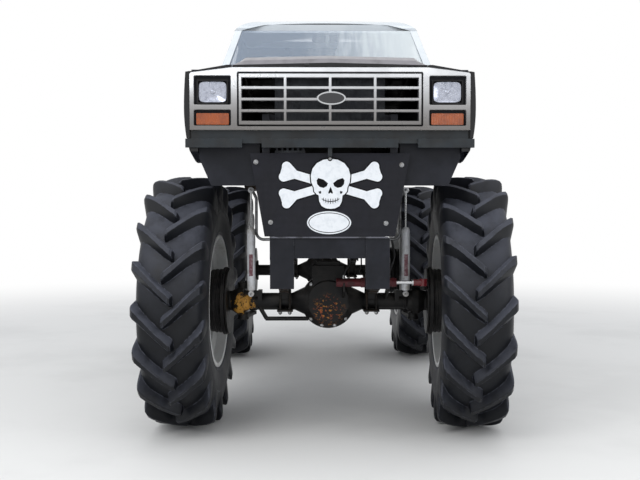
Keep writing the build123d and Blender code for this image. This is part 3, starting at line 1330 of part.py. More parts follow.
with BuildPart() as bench:
    block((-SEAT_BASE_HALF, SEAT_BASE_HALF), (1250, SEAT_BACK_PLACE), (FLOOR_Z, SEAT_BASE_TOP))
    block((-SEAT_HALF, SEAT_HALF), (1220, SEAT_BACK_PLACE), (SEAT_BASE_TOP, CUSHION_TOP))
    with BuildSketch(side_plane(-SEAT_HALF)):
        Polygon(*BACKREST, align=None)
    extrude(amount=2 * SEAT_HALF)
write(bench, "bench_seat")

with BuildPart() as dash:
    with BuildSketch(side_plane(-DASH_HALF)):
        Polygon((CAB_FRONT, 2440), *DASH_SECTION, (CAB_FRONT, 2730), align=None)
    extrude(amount=2 * DASH_HALF)
write(dash, "dashboard")

WHEEL_X = 380.0
WHEEL_RIM_RADIUS = 190.0
WHEEL_RIM_SECTION = 13.0

with BuildPart() as steering_wheel:
    column_low = Vector(WHEEL_X, back(858), 2560)
    column_high = Vector(WHEEL_X, back(1100), 2680)
    tilt = Plane(origin=column_high, z_dir=column_high - column_low)
    bar((WHEEL_X, 858, 2560), (WHEEL_X, 1100, 2680), 26)
    block((WHEEL_X - 40, WHEEL_X + 40), (700, 862), (2450, 2700), mode=Mode.SUBTRACT)
    with Locations(tilt):
        Box(2 * WHEEL_RIM_RADIUS - 14, 24, 12)
    with BuildSketch(Plane(origin=column_high, x_dir=tilt.x_dir, z_dir=tilt.y_dir)):
        with Locations((WHEEL_RIM_RADIUS, 0)):
            RegularPolygon(WHEEL_RIM_SECTION, 6)
    revolve(axis=Axis(column_high, column_high - column_low))
write(steering_wheel, "steering_wheel")

# Load bed

BED_WALL = 28.0
LINER_RADIUS = 434.0
LINER_SHEET = 12.0
BED_LINER_X = 560.0
TAILGATE_LOW = 2104.0
TAILGATE_FRONT = BED_REAR - TAILGATE_THICKNESS
TAIL_LAMP = ((872.0, 968.0), (BED_REAR - 26, BED_REAR + 1), (2260.0, 2560.0))

with BuildPart() as bed_side:
    with BuildSketch(cross_plane(BED_REAR)):
        side_face(BED_INNER_X, low=SILL_Z + 30)
    extrude(amount=BED_REAR - BED_FRONT)
    block((0, 1100), (BED_FRONT - 1, BED_REAR + 1), (BED_RAIL_Z, 2900), mode=Mode.SUBTRACT)
    arch_cut(WHEELBASE)
    block(*TAIL_LAMP, mode=Mode.SUBTRACT)
    mirror(about=Plane.YZ)
write(bed_side, "bed_sides")

with BuildPart() as tail_lamps:
    block(TAIL_LAMP[0], (TAIL_LAMP[1][0], BED_REAR - 2), TAIL_LAMP[2])
    mirror(about=Plane.YZ)
write(tail_lamps, "tail_lamps")

BED_FLOOR_SHEET = 25.0

with BuildPart() as bed_floor:
    along = (BED_FRONT + 2, TAILGATE_FRONT - PANEL_GAP)
    block((-BED_INNER_X + 1, BED_INNER_X - 1), along, (BED_FLOOR_Z - BED_FLOOR_SHEET, BED_FLOOR_Z))
    for side in (1, -1):
        reach = sorted((side * (BED_LINER_X - 1), side * (BED_INNER_X + 1)))
        half = LINER_RADIUS + LINER_SHEET
        block(reach, (WHEELBASE - half, WHEELBASE + half), (2000, 2200), mode=Mode.SUBTRACT)
    head = (BED_FRONT + 2, BED_FRONT + 2 + BED_WALL)
    block((-BED_INNER_X + 1, BED_INNER_X - 1), head, (BED_FLOOR_Z, BED_RAIL_Z))
write(bed_floor, "bed_floor")

SILL_PLACES = (BED_FRONT + 80, BED_FRONT + 520, WHEELBASE - 498, WHEELBASE + 502, BED_REAR - 120)
SILL_HALF = 35.0
SILL_HALF_LENGTH = 830.0
SILL_LOW = 2040.0
CAB_MOUNT_PLACES = (680.0, 1300.0, 1860.0)
CAB_MOUNT_RADIUS = 28.0

with BuildPart() as bed_sills:
    for place in SILL_PLACES:
        along = (place - SILL_HALF, place + SILL_HALF)
        block((-SILL_HALF_LENGTH, SILL_HALF_LENGTH), along, (SILL_LOW, BED_FLOOR_Z - BED_FLOOR_SHEET))
        for side in (1, -1):
            side_block(side, (upper_inner_x + 2, upper_outer_x - 2), along, (UPPER_RAIL_TOP, SILL_LOW + 1))
    for place in CAB_MOUNT_PLACES:
        with Locations(*((side * UPPER_RAIL_X, back(place), UPPER_RAIL_TOP) for side in (1, -1))):
            Cylinder(CAB_MOUNT_RADIUS, FLOOR_Z - FLOOR_SHEET - UPPER_RAIL_TOP, align=STANDING)
write(bed_sills, "body_mounts")


def liner(distance, inner_x, outer_x):
    """A half-round liner over one wheel with a closed inner end."""
    centre = (distance, ARCH_CENTRE_Z)
    for low, high, hollow in ((inner_x, outer_x, True), (inner_x, inner_x + LINER_SHEET, False)):
        with BuildSketch(side_plane(low)) as shape:
            with Locations(centre):
                Circle(LINER_RADIUS + LINER_SHEET)
                if hollow:
                    Circle(LINER_RADIUS, mode=Mode.SUBTRACT)
            with Locations((distance, ARCH_CENTRE_Z - 500)):
                Rectangle(1000, 1000, mode=Mode.SUBTRACT)
        extrude(shape.sketch, amount=high - low)


with BuildPart() as liners:
    liner(0, upper_outer_x + 15, FENDER_INNER_X)
    liner(WHEELBASE, BED_LINER_X, BED_INNER_X)
    mirror(about=Plane.YZ)
write(liners, "wheel_liners")

with BuildPart() as tailgate:
    across = (-BED_INNER_X + PANEL_GAP, BED_INNER_X - PANEL_GAP)
    block(across, (TAILGATE_FRONT, BED_REAR), (TAILGATE_LOW, BED_RAIL_Z))
write(tailgate, "tailgate")
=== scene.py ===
"""Raised pickup on farm tyres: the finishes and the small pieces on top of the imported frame.

Metres, in the frame's own axes: X is the truck's left, Y its rear, Z up, and the tyres stand on Z = 0.
"""

import json
import math

import bpy
from mathutils import Matrix, Vector


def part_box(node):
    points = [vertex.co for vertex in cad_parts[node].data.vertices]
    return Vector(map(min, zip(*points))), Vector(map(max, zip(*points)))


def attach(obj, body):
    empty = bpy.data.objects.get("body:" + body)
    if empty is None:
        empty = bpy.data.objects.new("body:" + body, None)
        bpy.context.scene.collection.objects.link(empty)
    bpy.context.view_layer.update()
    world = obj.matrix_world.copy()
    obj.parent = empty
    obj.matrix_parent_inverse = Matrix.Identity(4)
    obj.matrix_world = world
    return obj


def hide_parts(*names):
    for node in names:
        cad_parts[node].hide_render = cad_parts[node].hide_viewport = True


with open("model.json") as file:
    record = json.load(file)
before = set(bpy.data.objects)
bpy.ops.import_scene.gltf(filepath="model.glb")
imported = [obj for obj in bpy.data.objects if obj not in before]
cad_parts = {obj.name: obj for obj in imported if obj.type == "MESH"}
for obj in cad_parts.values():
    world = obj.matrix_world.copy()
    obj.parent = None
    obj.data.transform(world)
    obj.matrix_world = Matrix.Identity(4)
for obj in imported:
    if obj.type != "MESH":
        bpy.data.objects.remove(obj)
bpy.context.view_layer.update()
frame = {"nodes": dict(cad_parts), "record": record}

# Places on the truck that the small pieces line up with
FRONT_AXLE_Y = -1.7765
REAR_AXLE_Y = 1.6015
AXLE_Z = 0.947
WHEEL_X = 1.059
KINGPIN_X = 0.650
PARKED_STEER = math.radians(-3)
DRUM_FACE = -0.154
PLATE_FACE_Y = -2.4745
GRILLE_FACE_Y = -2.5325
SPRING_X = 0.328
SHOCK_X = 0.577
SIDES = {"left": 1, "right": -1}
WHEELS = [(end, hand) for end in ("front", "rear") for hand in SIDES]


# ---------------------------------------------------------------- finishes

SMOOTH = {"interpolation_type": "SMOOTHSTEP"}
COLOURS = {"data_type": "RGBA"}
TIMES, PLUS = {"operation": "MULTIPLY"}, {"operation": "ADD"}
WHITE = (1.0, 1.0, 1.0, 1.0)

# roughness of the hard clear layer over a gloss paint
COAT_ROUGH = 0.08
# a brushed patch: the blotches that break its edge, how far the edge wanders, and its bare spots
FRINGE, WANDER, BARE_SPOT = 0.05, 0.035, 0.022
# blotches across: flakes of an older coat, the older coats, spots of wear and painted highlight, and drifts
# of dust and painted sky light
FLAKE, OLDER_COAT, WEAR_AND_HIGHLIGHT_SPOT, DUST_AND_SHEEN_DRIFT = 0.018, 0.03, 0.03, 0.12


def linear(colour):
    """A hex colour as linear red, green, blue and alpha."""
    shares = [int(colour[i : i + 2], 16) / 255 for i in (1, 3, 5)]
    return tuple(s / 12.92 if s <= 0.04045 else ((s + 0.055) / 1.055) ** 2.4 for s in shares) + (1.0,)


def plug(tree, node, sockets):
    """Links what comes from another node into each socket, and sets what is the same all over."""
    for name, value in sockets.items():
        if isinstance(value, bpy.types.NodeSocket):
            tree.links.new(value, node.inputs[name])
        else:
            node.inputs[name].default_value = value


def add(tree, kind, settings, sockets, out=0):
    """The output in use of one new shader node, with its settings and what goes into its sockets."""
    node = tree.nodes.new("ShaderNode" + kind)
    for name, value in settings.items():
        setattr(node, name, value)
    plug(tree, node, sockets)
    return node.outputs[out]


def blotched(tree, place, size, limits, levels=(0.0, 1.0), detail=4.0, rough=0.55):
    """Blotches about size metres across, which go from one level to the other between the noise's limits."""
    sockets = {"Vector": place, "Scale": 1 / size, "Detail": detail, "Roughness": rough}
    noise = add(tree, "TexNoise", {}, sockets)
    return add(tree, "MapRange", SMOOTH, {0: noise, 1: limits[0], 2: limits[1], 3: levels[0], 4: levels[1]})


def finish(
    name, colour, rough, metallic=0.0, coat=0.0, patch=None, patch_size=0.3, patch_limits=(0.45, 0.65),
    stretch=(1.0, 1.0, 1.0), rough_swing=0.12, grain=0.004, grain_height=0.00004, dust_and_sheen=0.0,
    dust_and_sheen_colour="#8d877c", dust_and_sheen_limits=(0.3, 0.75), dust_and_sheen_sides=0.25, edge=0.002, wear_and_highlight=0.0,
    wear_and_highlight_colour="#77736d", ribs=None, crown=None, chips=None, split=None, painted_shade=None, daub=None,
    shine=0.5, film=1.0,
):
    """A finish built up as it is on the object; sizes are in metres, and an axis is 0, 1 or 2.

    The base colour turns to patch in blotches that are stretched by stretch, and the roughness swings with
    them. A pale layer lies on what faces up, and dust_and_sheen_sides is how much of it upright faces keep:
    it is dust, and on the tyres, the hood and the front fenders also painted sky light. Edges are rounded by
    edge
    and turn to wear_and_highlight_colour: rubbed wear, and on the tyres painted highlights. grain is the fine
    unevenness.
    ribs is (axis, pitch, height) and crown is (axis, middle, radius) of a slightly arched face.
    chips is (colour, other colour, centre, radius) of flakes that show older coats.
    split is (axis, place, colour, metallic) of another finish beyond that place.
    painted_shade is (axis, full, none, colour) of painted shade that darkens towards one end, and daub is
    (colour, centre, radius) of a brushed-on patch.
    shine is the gloss layer's strength, 0.5 on clean paint and less on what is weathered. film is how much
    of what lies behind a clear piece its own surface hides.
    """
    material = bpy.data.materials.new(name)
    material.use_nodes = True
    tree = material.node_tree
    place = add(tree, "TexCoord", {}, {}, "Object")
    axes = add(tree, "SeparateXYZ", {}, {0: place}).node.outputs
    facing = add(tree, "NewGeometry", {}, {}, "Normal")
    rounded = add(tree, "Bevel", {"samples": 4}, {"Radius": edge})
    stretched = add(tree, "Mapping", {}, {"Vector": place, "Scale": stretch})
    noise = {"Vector": stretched, "Scale": 1 / patch_size, "Detail": 6.0, "Roughness": 0.6}
    clouds = add(tree, "TexNoise", {}, noise)
    swing = {0: clouds, 1: 0.3, 2: 0.7, 3: rough - rough_swing / 2, 4: rough + rough_swing / 2}
    roughness = add(tree, "MapRange", SMOOTH, swing)
    metal = metallic
    # each layer covers the ones before it by a share, with a colour
    layers = []
    if patch:
        low, high = patch_limits
        layers.append((add(tree, "MapRange", SMOOTH, {0: clouds, 1: low, 2: high}), linear(patch)))
    if split:
        axis, border, beyond_colour, beyond_metallic = split
        limits = {0: axes[axis], 1: border - 0.002, 2: border + 0.002}
        layers.append((add(tree, "MapRange", SMOOTH, limits), linear(beyond_colour)))
        metal = add(tree, "MapRange", SMOOTH, {**limits, 3: metallic, 4: beyond_metallic})
    # painted shade: the colour darkens towards one end along an axis
    if painted_shade:
        axis, full, none, painted_shade_colour = painted_shade
        painted_shade_share = add(tree, "MapRange", SMOOTH, {0: axes[axis], 1: none, 2: full})
        layers.append((painted_shade_share, linear(painted_shade_colour)))
    if daub:
        daub_colour, centre, radius = daub
        near = add(tree, "VectorMath", {"operation": "DISTANCE"}, {0: place, 1: centre}, "Value")
        fringe = blotched(tree, place, FRINGE, (0.3, 0.7), (-WANDER, WANDER), 6.0, 0.7)
        ragged = add(tree, "Math", PLUS, {0: near, 1: fringe})
        inside = add(tree, "MapRange", SMOOTH, {0: ragged, 1: radius, 2: radius - 0.012})
        kept = blotched(tree, place, BARE_SPOT, (0.62, 0.54), rough=0.7)
        layers.append((add(tree, "Math", TIMES, {0: inside, 1: kept}), linear(daub_colour)))
    if chips:
        first, second, centre, radius = chips
        near = add(tree, "VectorMath", {"operation": "DISTANCE"}, {0: place, 1: centre}, "Value")
        inside = add(tree, "MapRange", SMOOTH, {0: near, 1: radius, 2: radius * 0.4})
        flakes = blotched(tree, place, FLAKE, (0.56, 0.6), detail=3.0, rough=0.7)
        older = blotched(tree, place, OLDER_COAT, (0.45, 0.55))
        tint = add(tree, "Mix", COLOURS, {0: older, 6: linear(first), 7: linear(second)}, 2)
        layers.append((add(tree, "Math", TIMES, {0: inside, 1: flakes}), tint))
    # edges turn pale: rubbed wear, and on the tyres painted highlights
    if wear_and_highlight:
        along = add(tree, "VectorMath", {"operation": "DOT_PRODUCT"}, {0: rounded, 1: facing}, "Value")
        pale_edge = add(tree, "MapRange", SMOOTH, {0: along, 1: 0.995, 2: 0.93, 4: wear_and_highlight})
        worn_and_lit = add(tree, "Math", TIMES, {0: pale_edge, 1: blotched(tree, place, WEAR_AND_HIGHLIGHT_SPOT, (0.42, 0.6))})
        layers.append((worn_and_lit, linear(wear_and_highlight_colour)))
    # a pale layer on what faces up: dust, and on the tyres, the hood and the front fenders also painted sky
    # light
    if dust_and_sheen:
        upward = add(tree, "SeparateXYZ", {}, {0: facing}, 2)
        facing_up = add(tree, "MapRange", SMOOTH, {0: upward, 1: -0.1, 2: 0.9, 3: dust_and_sheen_sides, 4: 1.0})
        dust_and_sheen_blotches = blotched(tree, place, DUST_AND_SHEEN_DRIFT, dust_and_sheen_limits, (0.0, dust_and_sheen), 8.0, 0.65)
        dust_and_sheen_share = add(tree, "Math", TIMES, {0: facing_up, 1: dust_and_sheen_blotches})
        layers.append((dust_and_sheen_share, linear(dust_and_sheen_colour)))
        duller = add(tree, "Math", TIMES, {0: dust_and_sheen_share, 1: 0.5})
        roughness = add(tree, "Math", PLUS, {0: roughness, 1: duller})
    shade = linear(colour)
    for share, over in layers:
        shade = add(tree, "Mix", COLOURS, {0: share, 6: shade, 7: over}, 2)

    noise = {"Vector": place, "Scale": 1 / grain, "Detail": 3.0, "Roughness": 0.6}
    reliefs = [(add(tree, "TexNoise", {}, noise), grain_height)]
    if crown:
        axis, middle, radius = crown
        off = add(tree, "Math", {"operation": "SUBTRACT"}, {0: axes[axis], 1: middle})
        squared = add(tree, "Math", TIMES, {0: off, 1: off})
        reliefs.append((add(tree, "Math", {"operation": "DIVIDE"}, {0: squared, 1: -2 * radius}), 1.0))
    if ribs:
        axis, pitch, height = ribs
        angle = add(tree, "Math", TIMES, {0: axes[axis], 1: 2 * math.pi / pitch})
        reliefs.append((add(tree, "Math", {"operation": "SINE"}, {0: angle}), height))
    normal = rounded
    for relief, height in reliefs:
        normal = add(tree, "Bump", {}, {"Height": relief, "Distance": height, "Normal": normal})
    surface = {"Base Color": shade, "Roughness": roughness, "Metallic": metal, "Normal": normal}
    surface |= {"Coat Weight": coat, "Coat Roughness": COAT_ROUGH, "Specular IOR Level": shine}
    surface |= {"IOR": 1.5, "Alpha": film}
    plug(tree, tree.nodes["Principled BSDF"], surface)
    return material


# flakes of older paint on the front of the differential
DIFF_CENTRE = (0.0, FRONT_AXLE_Y - 0.12, 0.88)
# yellow brushed over the ball end and the knuckle around it
YELLOW_DAUB = ("#bd8a3a", (-0.640, FRONT_AXLE_Y - 0.08, 0.925), 0.078)

FINISHES = {
    # moulded tyre rubber, outdoors for years: a bluish grey on what faces up, partly dust and partly painted
    # sky light, black under each lug, and pale lug edges that are painted highlights
    "tyre_rubber": dict(
        colour="#0a0c10", rough=0.45, patch="#121419", patch_size=0.25, dust_and_sheen=0.6, dust_and_sheen_colour="#585b66",
        dust_and_sheen_limits=(0.1, 0.6), dust_and_sheen_sides=0.05, grain=0.006, grain_height=0.0002, edge=0.007, wear_and_highlight=0.6,
        wear_and_highlight_colour="#5c5f6b", shine=0.25,
    ),
    # sprayed white enamel on pressed steel: chalky, rust-tinted where water stood
    "rim_paint": dict(
        colour="#d2d3d2", rough=0.42, patch="#a5a29c", patch_size=0.2, patch_limits=(0.5, 0.75), dust_and_sheen=0.2,
        wear_and_highlight=0.5, wear_and_highlight_colour="#6d5a48",
    ),
    # old black paint on cast iron: greasy, with flakes of the yellow and orange coats under it
    "axle_iron": dict(
        colour="#0c0c0e", rough=0.5, patch="#181717", patch_size=0.12, dust_and_sheen=0.12, grain=0.005,
        grain_height=0.0004, wear_and_highlight=0.3, wear_and_highlight_colour="#4a3c30",
        chips=("#b8792a", "#9a4a26", DIFF_CENTRE, 0.15), daub=YELLOW_DAUB, shine=0.25,
    ),
    # dark red enamel on a steel cylinder: gloss gone in the dust
    "ram_paint": dict(
        colour="#52131c", rough=0.4, patch="#3a0f15", patch_size=0.06, dust_and_sheen=0.1, wear_and_highlight=0.5, shine=0.3,
    ),
    # rolled spring steel: black scale with brown rust between the leaves
    "spring_steel": dict(
        colour="#141415", rough=0.55, metallic=0.3, patch="#2c221b", patch_size=0.07, dust_and_sheen=0.15, shine=0.25,
        wear_and_highlight=0.6, wear_and_highlight_colour="#6a5a4c",
    ),
    # white baked enamel tube: the brightest thing under the truck
    "shock_paint": dict(colour="#dcdee2", rough=0.3, patch="#b3b1ad", patch_size=0.1, dust_and_sheen=0.15, coat=0.3),
    # bent steel tube, zinc plated: dull grey shine
    "hoop_steel": dict(
        colour="#8b8d90", rough=0.42, metallic=0.8, patch="#5d5c5b", patch_size=0.05, dust_and_sheen=0.15,
    ),
    # satin blue-black chassis paint on box steel: dust on top edges
    "chassis_paint": dict(
        colour="#14161c", rough=0.42, patch="#1c1e25", patch_size=0.25, dust_and_sheen=0.2, dust_and_sheen_colour="#5d5c64",
        wear_and_highlight=0.7, wear_and_highlight_colour="#6e6f76", edge=0.003, shine=0.2,
    ),
    # cast iron and oil: near black, half shiny
    "engine_iron": dict(colour="#131313", rough=0.5, patch="#262422", patch_size=0.1, dust_and_sheen=0.2, shine=0.25),
    # bare underbody steel with brown surface rust
    "underbody_steel": dict(
        colour="#1c1b1a", rough=0.6, metallic=0.2, patch="#3a2c22", patch_size=0.1, dust_and_sheen=0.2, shine=0.25,
    ),
    # black-painted cores with upright tubes 9 mm apart: fine upright lines
    "cooler_metal": dict(
        colour="#33363b", rough=0.4, metallic=0.6, patch="#22242a", patch_size=0.08,
        ribs=(0, 0.009, 0.0015), dust_and_sheen=0.15,
    ),
    # silver-painted plastic: soft gleam without a clear reflection, with painted shade that darkens it
    # towards its lower edge
    "argent_plastic": dict(
        colour="#cdcfd2", rough=0.3, metallic=0.6, patch="#c1c3c6", dust_and_sheen=0.05, edge=0.005,
        wear_and_highlight=0.2, wear_and_highlight_colour="#4a4a4b", crown=(2, 2.41, 0.42), painted_shade=(2, 2.20, 2.58, "#807d7b"),
    ),
    # black paint on the plated rings around the lamps: a dark recess
    "bezel_chrome": dict(
        colour="#09090b", rough=0.35, patch="#121316", patch_size=0.05, dust_and_sheen=0.05, shine=0.25,
    ),
    # pressed glass lens: clear, its 12 mm flutes break up the reflection
    "lamp_glass": dict(
        colour="#e6eaf2", rough=0.05, film=0.2, rough_swing=0.02, ribs=(0, 0.012, 0.0012),
    ),
    # moulded amber plastic with upright prisms 11 mm apart
    "amber_lens": dict(
        colour="#98460f", rough=0.28, coat=0.3, patch="#823a0e", patch_size=0.05, ribs=(0, 0.011, 0.0008),
        dust_and_sheen=0.08,
    ),
    # moulded red plastic with level prisms 12 mm apart
    "red_lens": dict(
        colour="#8e1418", rough=0.22, coat=0.6, patch="#6c0d12", patch_size=0.1, ribs=(2, 0.012, 0.0008),
    ),
    # faded blue-grey paint on a folded steel lip: half matt, rubbed pale along its edges
    "valance_paint": dict(
        colour="#182026", rough=0.35, patch="#0f1317", patch_size=0.2, dust_and_sheen=0.12, coat=0.2, wear_and_highlight=0.5,
        wear_and_highlight_colour="#6d7276", shine=0.3,
    ),
    # black gloss enamel on body steel: mirrors what stands around it, hazed by fine dust
    "body_paint": dict(
        colour="#060709", rough=0.14, coat=0.15, patch="#0a0b0e", patch_size=0.5, dust_and_sheen=0.05,
        dust_and_sheen_colour="#a2a0a0", rough_swing=0.08, grain=0.002, grain_height=0.00001, edge=0.004, shine=0.16,
    ),
    # black liner plastic: flat, a little dusty
    "liner_paint": dict(
        colour="#0a0a0c", rough=0.6, patch="#131315", patch_size=0.15, dust_and_sheen=0.08, shine=0.12,
    ),
    # vinyl over foam: half matt, with a fine leather grain
    "seat_vinyl": dict(
        colour="#3a3733", rough=0.5, patch="#2c2a27", patch_size=0.2, grain=0.002, grain_height=0.0002,
    ),
    # hard moulded dash plastic: dull, dusty on top
    "dash_plastic": dict(
        colour="#2b2b2d", rough=0.55, patch="#38383a", patch_size=0.2, grain=0.0015, grain_height=0.0001,
        dust_and_sheen=0.2,
    ),
    # clear glass with a thin film of dust: the dark cab shows through
    "window_glass": dict(
        colour="#56616c", rough=0.04, film=0.28, rough_swing=0.02, grain=1.5, grain_height=0.0, edge=0.001,
    ),
}
finishes = {name: finish(name, **settings) for name, settings in FINISHES.items()}

# pieces whose look differs from their neighbours of the same make
# worn yellow-orange paint on a cast knuckle, chipped to dark iron; its backing plate is black
yellow_casting = finish(
    "yellow_casting", "#0e0e10", 0.5, patch="#1a1816", patch_size=0.05, dust_and_sheen=0.1,
    grain_height=0.0004, wear_and_highlight=0.3, wear_and_highlight_colour="#3c3228", daub=YELLOW_DAUB, shine=0.25,
)
# white gloss enamel on the roof and the pillars: clean, with a soft sheen
white_enamel = finish(
    "white_enamel", "#c6cdd2", 0.16, coat=0.4, patch="#bcc4ca", patch_size=0.4, dust_and_sheen=0.05, rough_swing=0.06,
    grain=0.002, grain_height=0.00001, edge=0.004,
)
# black gloss enamel that faces the sky: a pale film in streaks that run fore and aft lies on what faces up,
# partly road dust and dried rain and partly painted sky reflection
dust_and_sheen_enamel = finish(
    "dust_and_sheen_enamel", "#07080b", 0.16, coat=0.35, patch="#0f1014", dust_and_sheen=0.5,
    dust_and_sheen_colour="#9c99a0", dust_and_sheen_limits=(0.0, 0.6), dust_and_sheen_sides=-0.25, rough_swing=0.1, grain=0.002,
    grain_height=0.00001, edge=0.004, stretch=(6.0, 0.4, 1.0), shine=0.3,
)
# black enamel on the ribbed load floor: scuffed and dusty
bed_enamel = finish(
    "bed_enamel", "#101114", 0.35, coat=0.3, patch="#1d1e21", patch_size=0.2, dust_and_sheen=0.5,
    dust_and_sheen_colour="#7c7973", grain_height=0.0001, edge=0.003,
)
# silvered glass bowl: bright rim, darker hollow
lamp_silver = finish(
    "lamp_silver", "#b4b8c6", 0.14, metallic=0.9, patch="#8f94a3", patch_size=0.03, edge=0.001,
)
# moulded black plastic: an even half-matt black
mirror_black = finish("mirror_black", "#17181a", 0.4, patch="#222326", patch_size=0.05)
# bright chromium plate: a clear reflection
handle_chrome = finish("handle_chrome", "#cfd1d3", 0.12, metallic=1.0, dust_and_sheen=0.04, edge=0.001)
# extruded black rubber: soft and dull
wiper_rubber = finish("wiper_rubber", "#141416", 0.45, patch="#222225", patch_size=0.03, edge=0.001)
# hard chrome on a ground rod, red enamel beyond the place where the clevis starts
rod_chrome = finish(
    "rod_chrome", "#c9cacc", 0.12, metallic=1.0, dust_and_sheen=0.05, split=(0, 0.622, "#6d1a22", 0.0),
)
# brush-painted cast drum: near black, with a little dust in its grooves
drum_black = finish(
    "drum_black", "#0c0c0e", 0.5, patch="#161517", patch_size=0.06, dust_and_sheen=0.12, wear_and_highlight=0.3, shine=0.25,
)
# zinc-plated bolts: pale grey gone blotchy
bolt_zinc = finish("bolt_zinc", "#a3a5a8", 0.35, metallic=0.9, patch="#6e6a63", patch_size=0.01, dust_and_sheen=0.1)
# painted highlight: pale grey steel with dark patches, standing in for the sky lighting a top edge
highlight_steel = finish(
    "highlight_steel", "#5c5d66", 0.45, metallic=0.3, patch="#2a2b31", patch_size=0.12,
    patch_limits=(0.48, 0.62), dust_and_sheen=0.1,
)
# sheet vinyl, cut and stuck on: flat white, flat black and a faded maroon
decal_white = finish("decal_white", "#dfe3e7", 0.35, patch="#d3d8dd", patch_size=0.04, edge=0.0005)
decal_black = finish("decal_black", "#060608", 0.4, patch="#0b0b0e", patch_size=0.03, edge=0.0005, shine=0.12)
stripe_maroon = finish("stripe_maroon", "#6f3c45", 0.4, patch="#9a8288", patch_size=0.02, edge=0.0005)
# the bare badge: charcoal lacquer in a bright plated rim
badge_field = finish("badge_field", "#1d1e21", 0.25, coat=0.5, edge=0.0005)
badge_rim = finish("badge_rim", "#c6c8ca", 0.2, metallic=0.9, edge=0.001)


def plate_pattern():
    """Black rubber sheet moulded with small slanted diamonds, drawn at its real 16 mm pitch."""
    diamond_pitch = 0.016
    material = finish(
        "plate_rubber", "#101117", 0.5, patch="#17181f", patch_size=0.2, dust_and_sheen=0.15, dust_and_sheen_colour="#5a5a64",
        shine=0.2,
    )
    tree = material.node_tree
    shader = tree.nodes["Principled BSDF"]
    axes = add(tree, "SeparateXYZ", {}, {0: add(tree, "TexCoord", {}, {}, "Object")}).node.outputs
    waves = []
    for turn in (1, -1):
        slant = add(tree, "Math", TIMES, {0: axes[2], 1: turn})
        along = add(tree, "Math", PLUS, {0: axes[0], 1: slant})
        angle = add(tree, "Math", TIMES, {0: along, 1: 2 * math.pi / diamond_pitch})
        waves.append(add(tree, "Math", {"operation": "SINE"}, {0: angle}))
    crossing = add(tree, "Math", TIMES, {0: waves[0], 1: waves[1]})
    # painted highlight: the diamonds' crests are painted a paler bluish grey, as their tops catch the light
    crests = add(tree, "MapRange", SMOOTH, {0: crossing, 1: 0.1, 2: 0.7, 4: 0.45})
    colour, normal = (shader.inputs[name].links[0].from_socket for name in ("Base Color", "Normal"))
    lighter = add(tree, "Mix", COLOURS, {0: crests, 6: colour, 7: linear("#2e2f39")}, 2)
    raised = add(tree, "Bump", {}, {"Height": crossing, "Distance": 0.0015, "Normal": normal})
    plug(tree, shader, {"Base Color": lighter, "Normal": raised})
    return material


def sky_reflection_windshield():
    """Window glass with a painted reflection of the sky: a pale film in upright streaks, blue-grey on the
    truck's right, near white and thicker on its left.
    """
    material = finish("reflection_glass", "#8796a6", 0.07, film=0.4, rough_swing=0.04, edge=0.001)
    tree = material.node_tree
    place = add(tree, "TexCoord", {}, {}, "Object")
    axes = add(tree, "SeparateXYZ", {}, {0: place}).node.outputs
    upright = add(tree, "Mapping", {}, {"Vector": place, "Scale": (1.0, 0.12, 0.12)})
    streaks = blotched(tree, upright, 0.05, (0.3, 0.7), (-0.10, 0.10), 3.0, 0.5)
    leftward = add(tree, "Math", PLUS, {0: axes[0], 1: streaks})
    across = add(tree, "MapRange", SMOOTH, {0: leftward, 1: -0.35, 2: 0.75})
    # painted reflection: blue-grey turning to near white towards the truck's left, and more opaque there
    painted_reflection = add(tree, "Mix", COLOURS, {0: across, 6: linear("#98a7b9"), 7: linear("#d9e1e4")}, 2)
    reflection_cover = add(tree, "MapRange", SMOOTH, {0: across, 3: 0.36, 4: 0.60})
    # the painted reflection lies on the windshield; the glass behind the seat is clearer
    ahead = add(tree, "MapRange", SMOOTH, {0: axes[1], 1: -0.50, 2: -0.60, 3: 0.35, 4: 1.0})
    hidden = add(tree, "Math", TIMES, {0: reflection_cover, 1: ahead})
    plug(tree, tree.nodes["Principled BSDF"], {"Base Color": painted_reflection, "Alpha": hidden})
    return material


own_finish = {
    "knuckle_right": yellow_casting,
    "ram_rod": rod_chrome,
    "front_plate": plate_pattern(),
    "cab_glass": sky_reflection_windshield(),
    "roof": white_enamel,
    "windshield_pillars": white_enamel,
    "hood": dust_and_sheen_enamel,
    "front_fenders": dust_and_sheen_enamel,
    "bed_floor": bed_enamel,
}
for row in frame["record"]["subparts"]:
    mesh = frame["nodes"][row["node"]].data
    mesh.materials.clear()
    mesh.materials.append(own_finish.get(row["node"], finishes[row["material_slot"]]))


# ---------------------------------------------------------------- shapes

LEFT, REAR, UP = Vector((1, 0, 0)), Vector((0, 1, 0)), Vector((0, 0, 1))


def net(rows, columns, rows_close=False, columns_close=True):
    """The four-sided faces of a grid of points that are numbered row after row."""
    turns = range(rows if rows_close else rows - 1)
    starts = [(i * columns, (i + 1) % rows * columns) for i in turns]
    return [
        (here + k, here + (k + 1) % columns, there + (k + 1) % columns, there + k)
        for here, there in starts
        for k in range(columns if columns_close else columns - 1)
    ]


def ends(rows, columns):
    """The first and the last face that close a stack of rings."""
    return [list(range(columns))[::-1], list(range((rows - 1) * columns, rows * columns))]


def ring(centre, across, up, radius, count, shift=0.0):
    """Points evenly round a circle; the first stands shift of a step on from across."""
    turns = [2 * math.pi * (k + shift) / count for k in range(count)]
    return [centre + (across * math.cos(turn) + up * math.sin(turn)) * radius for turn in turns]


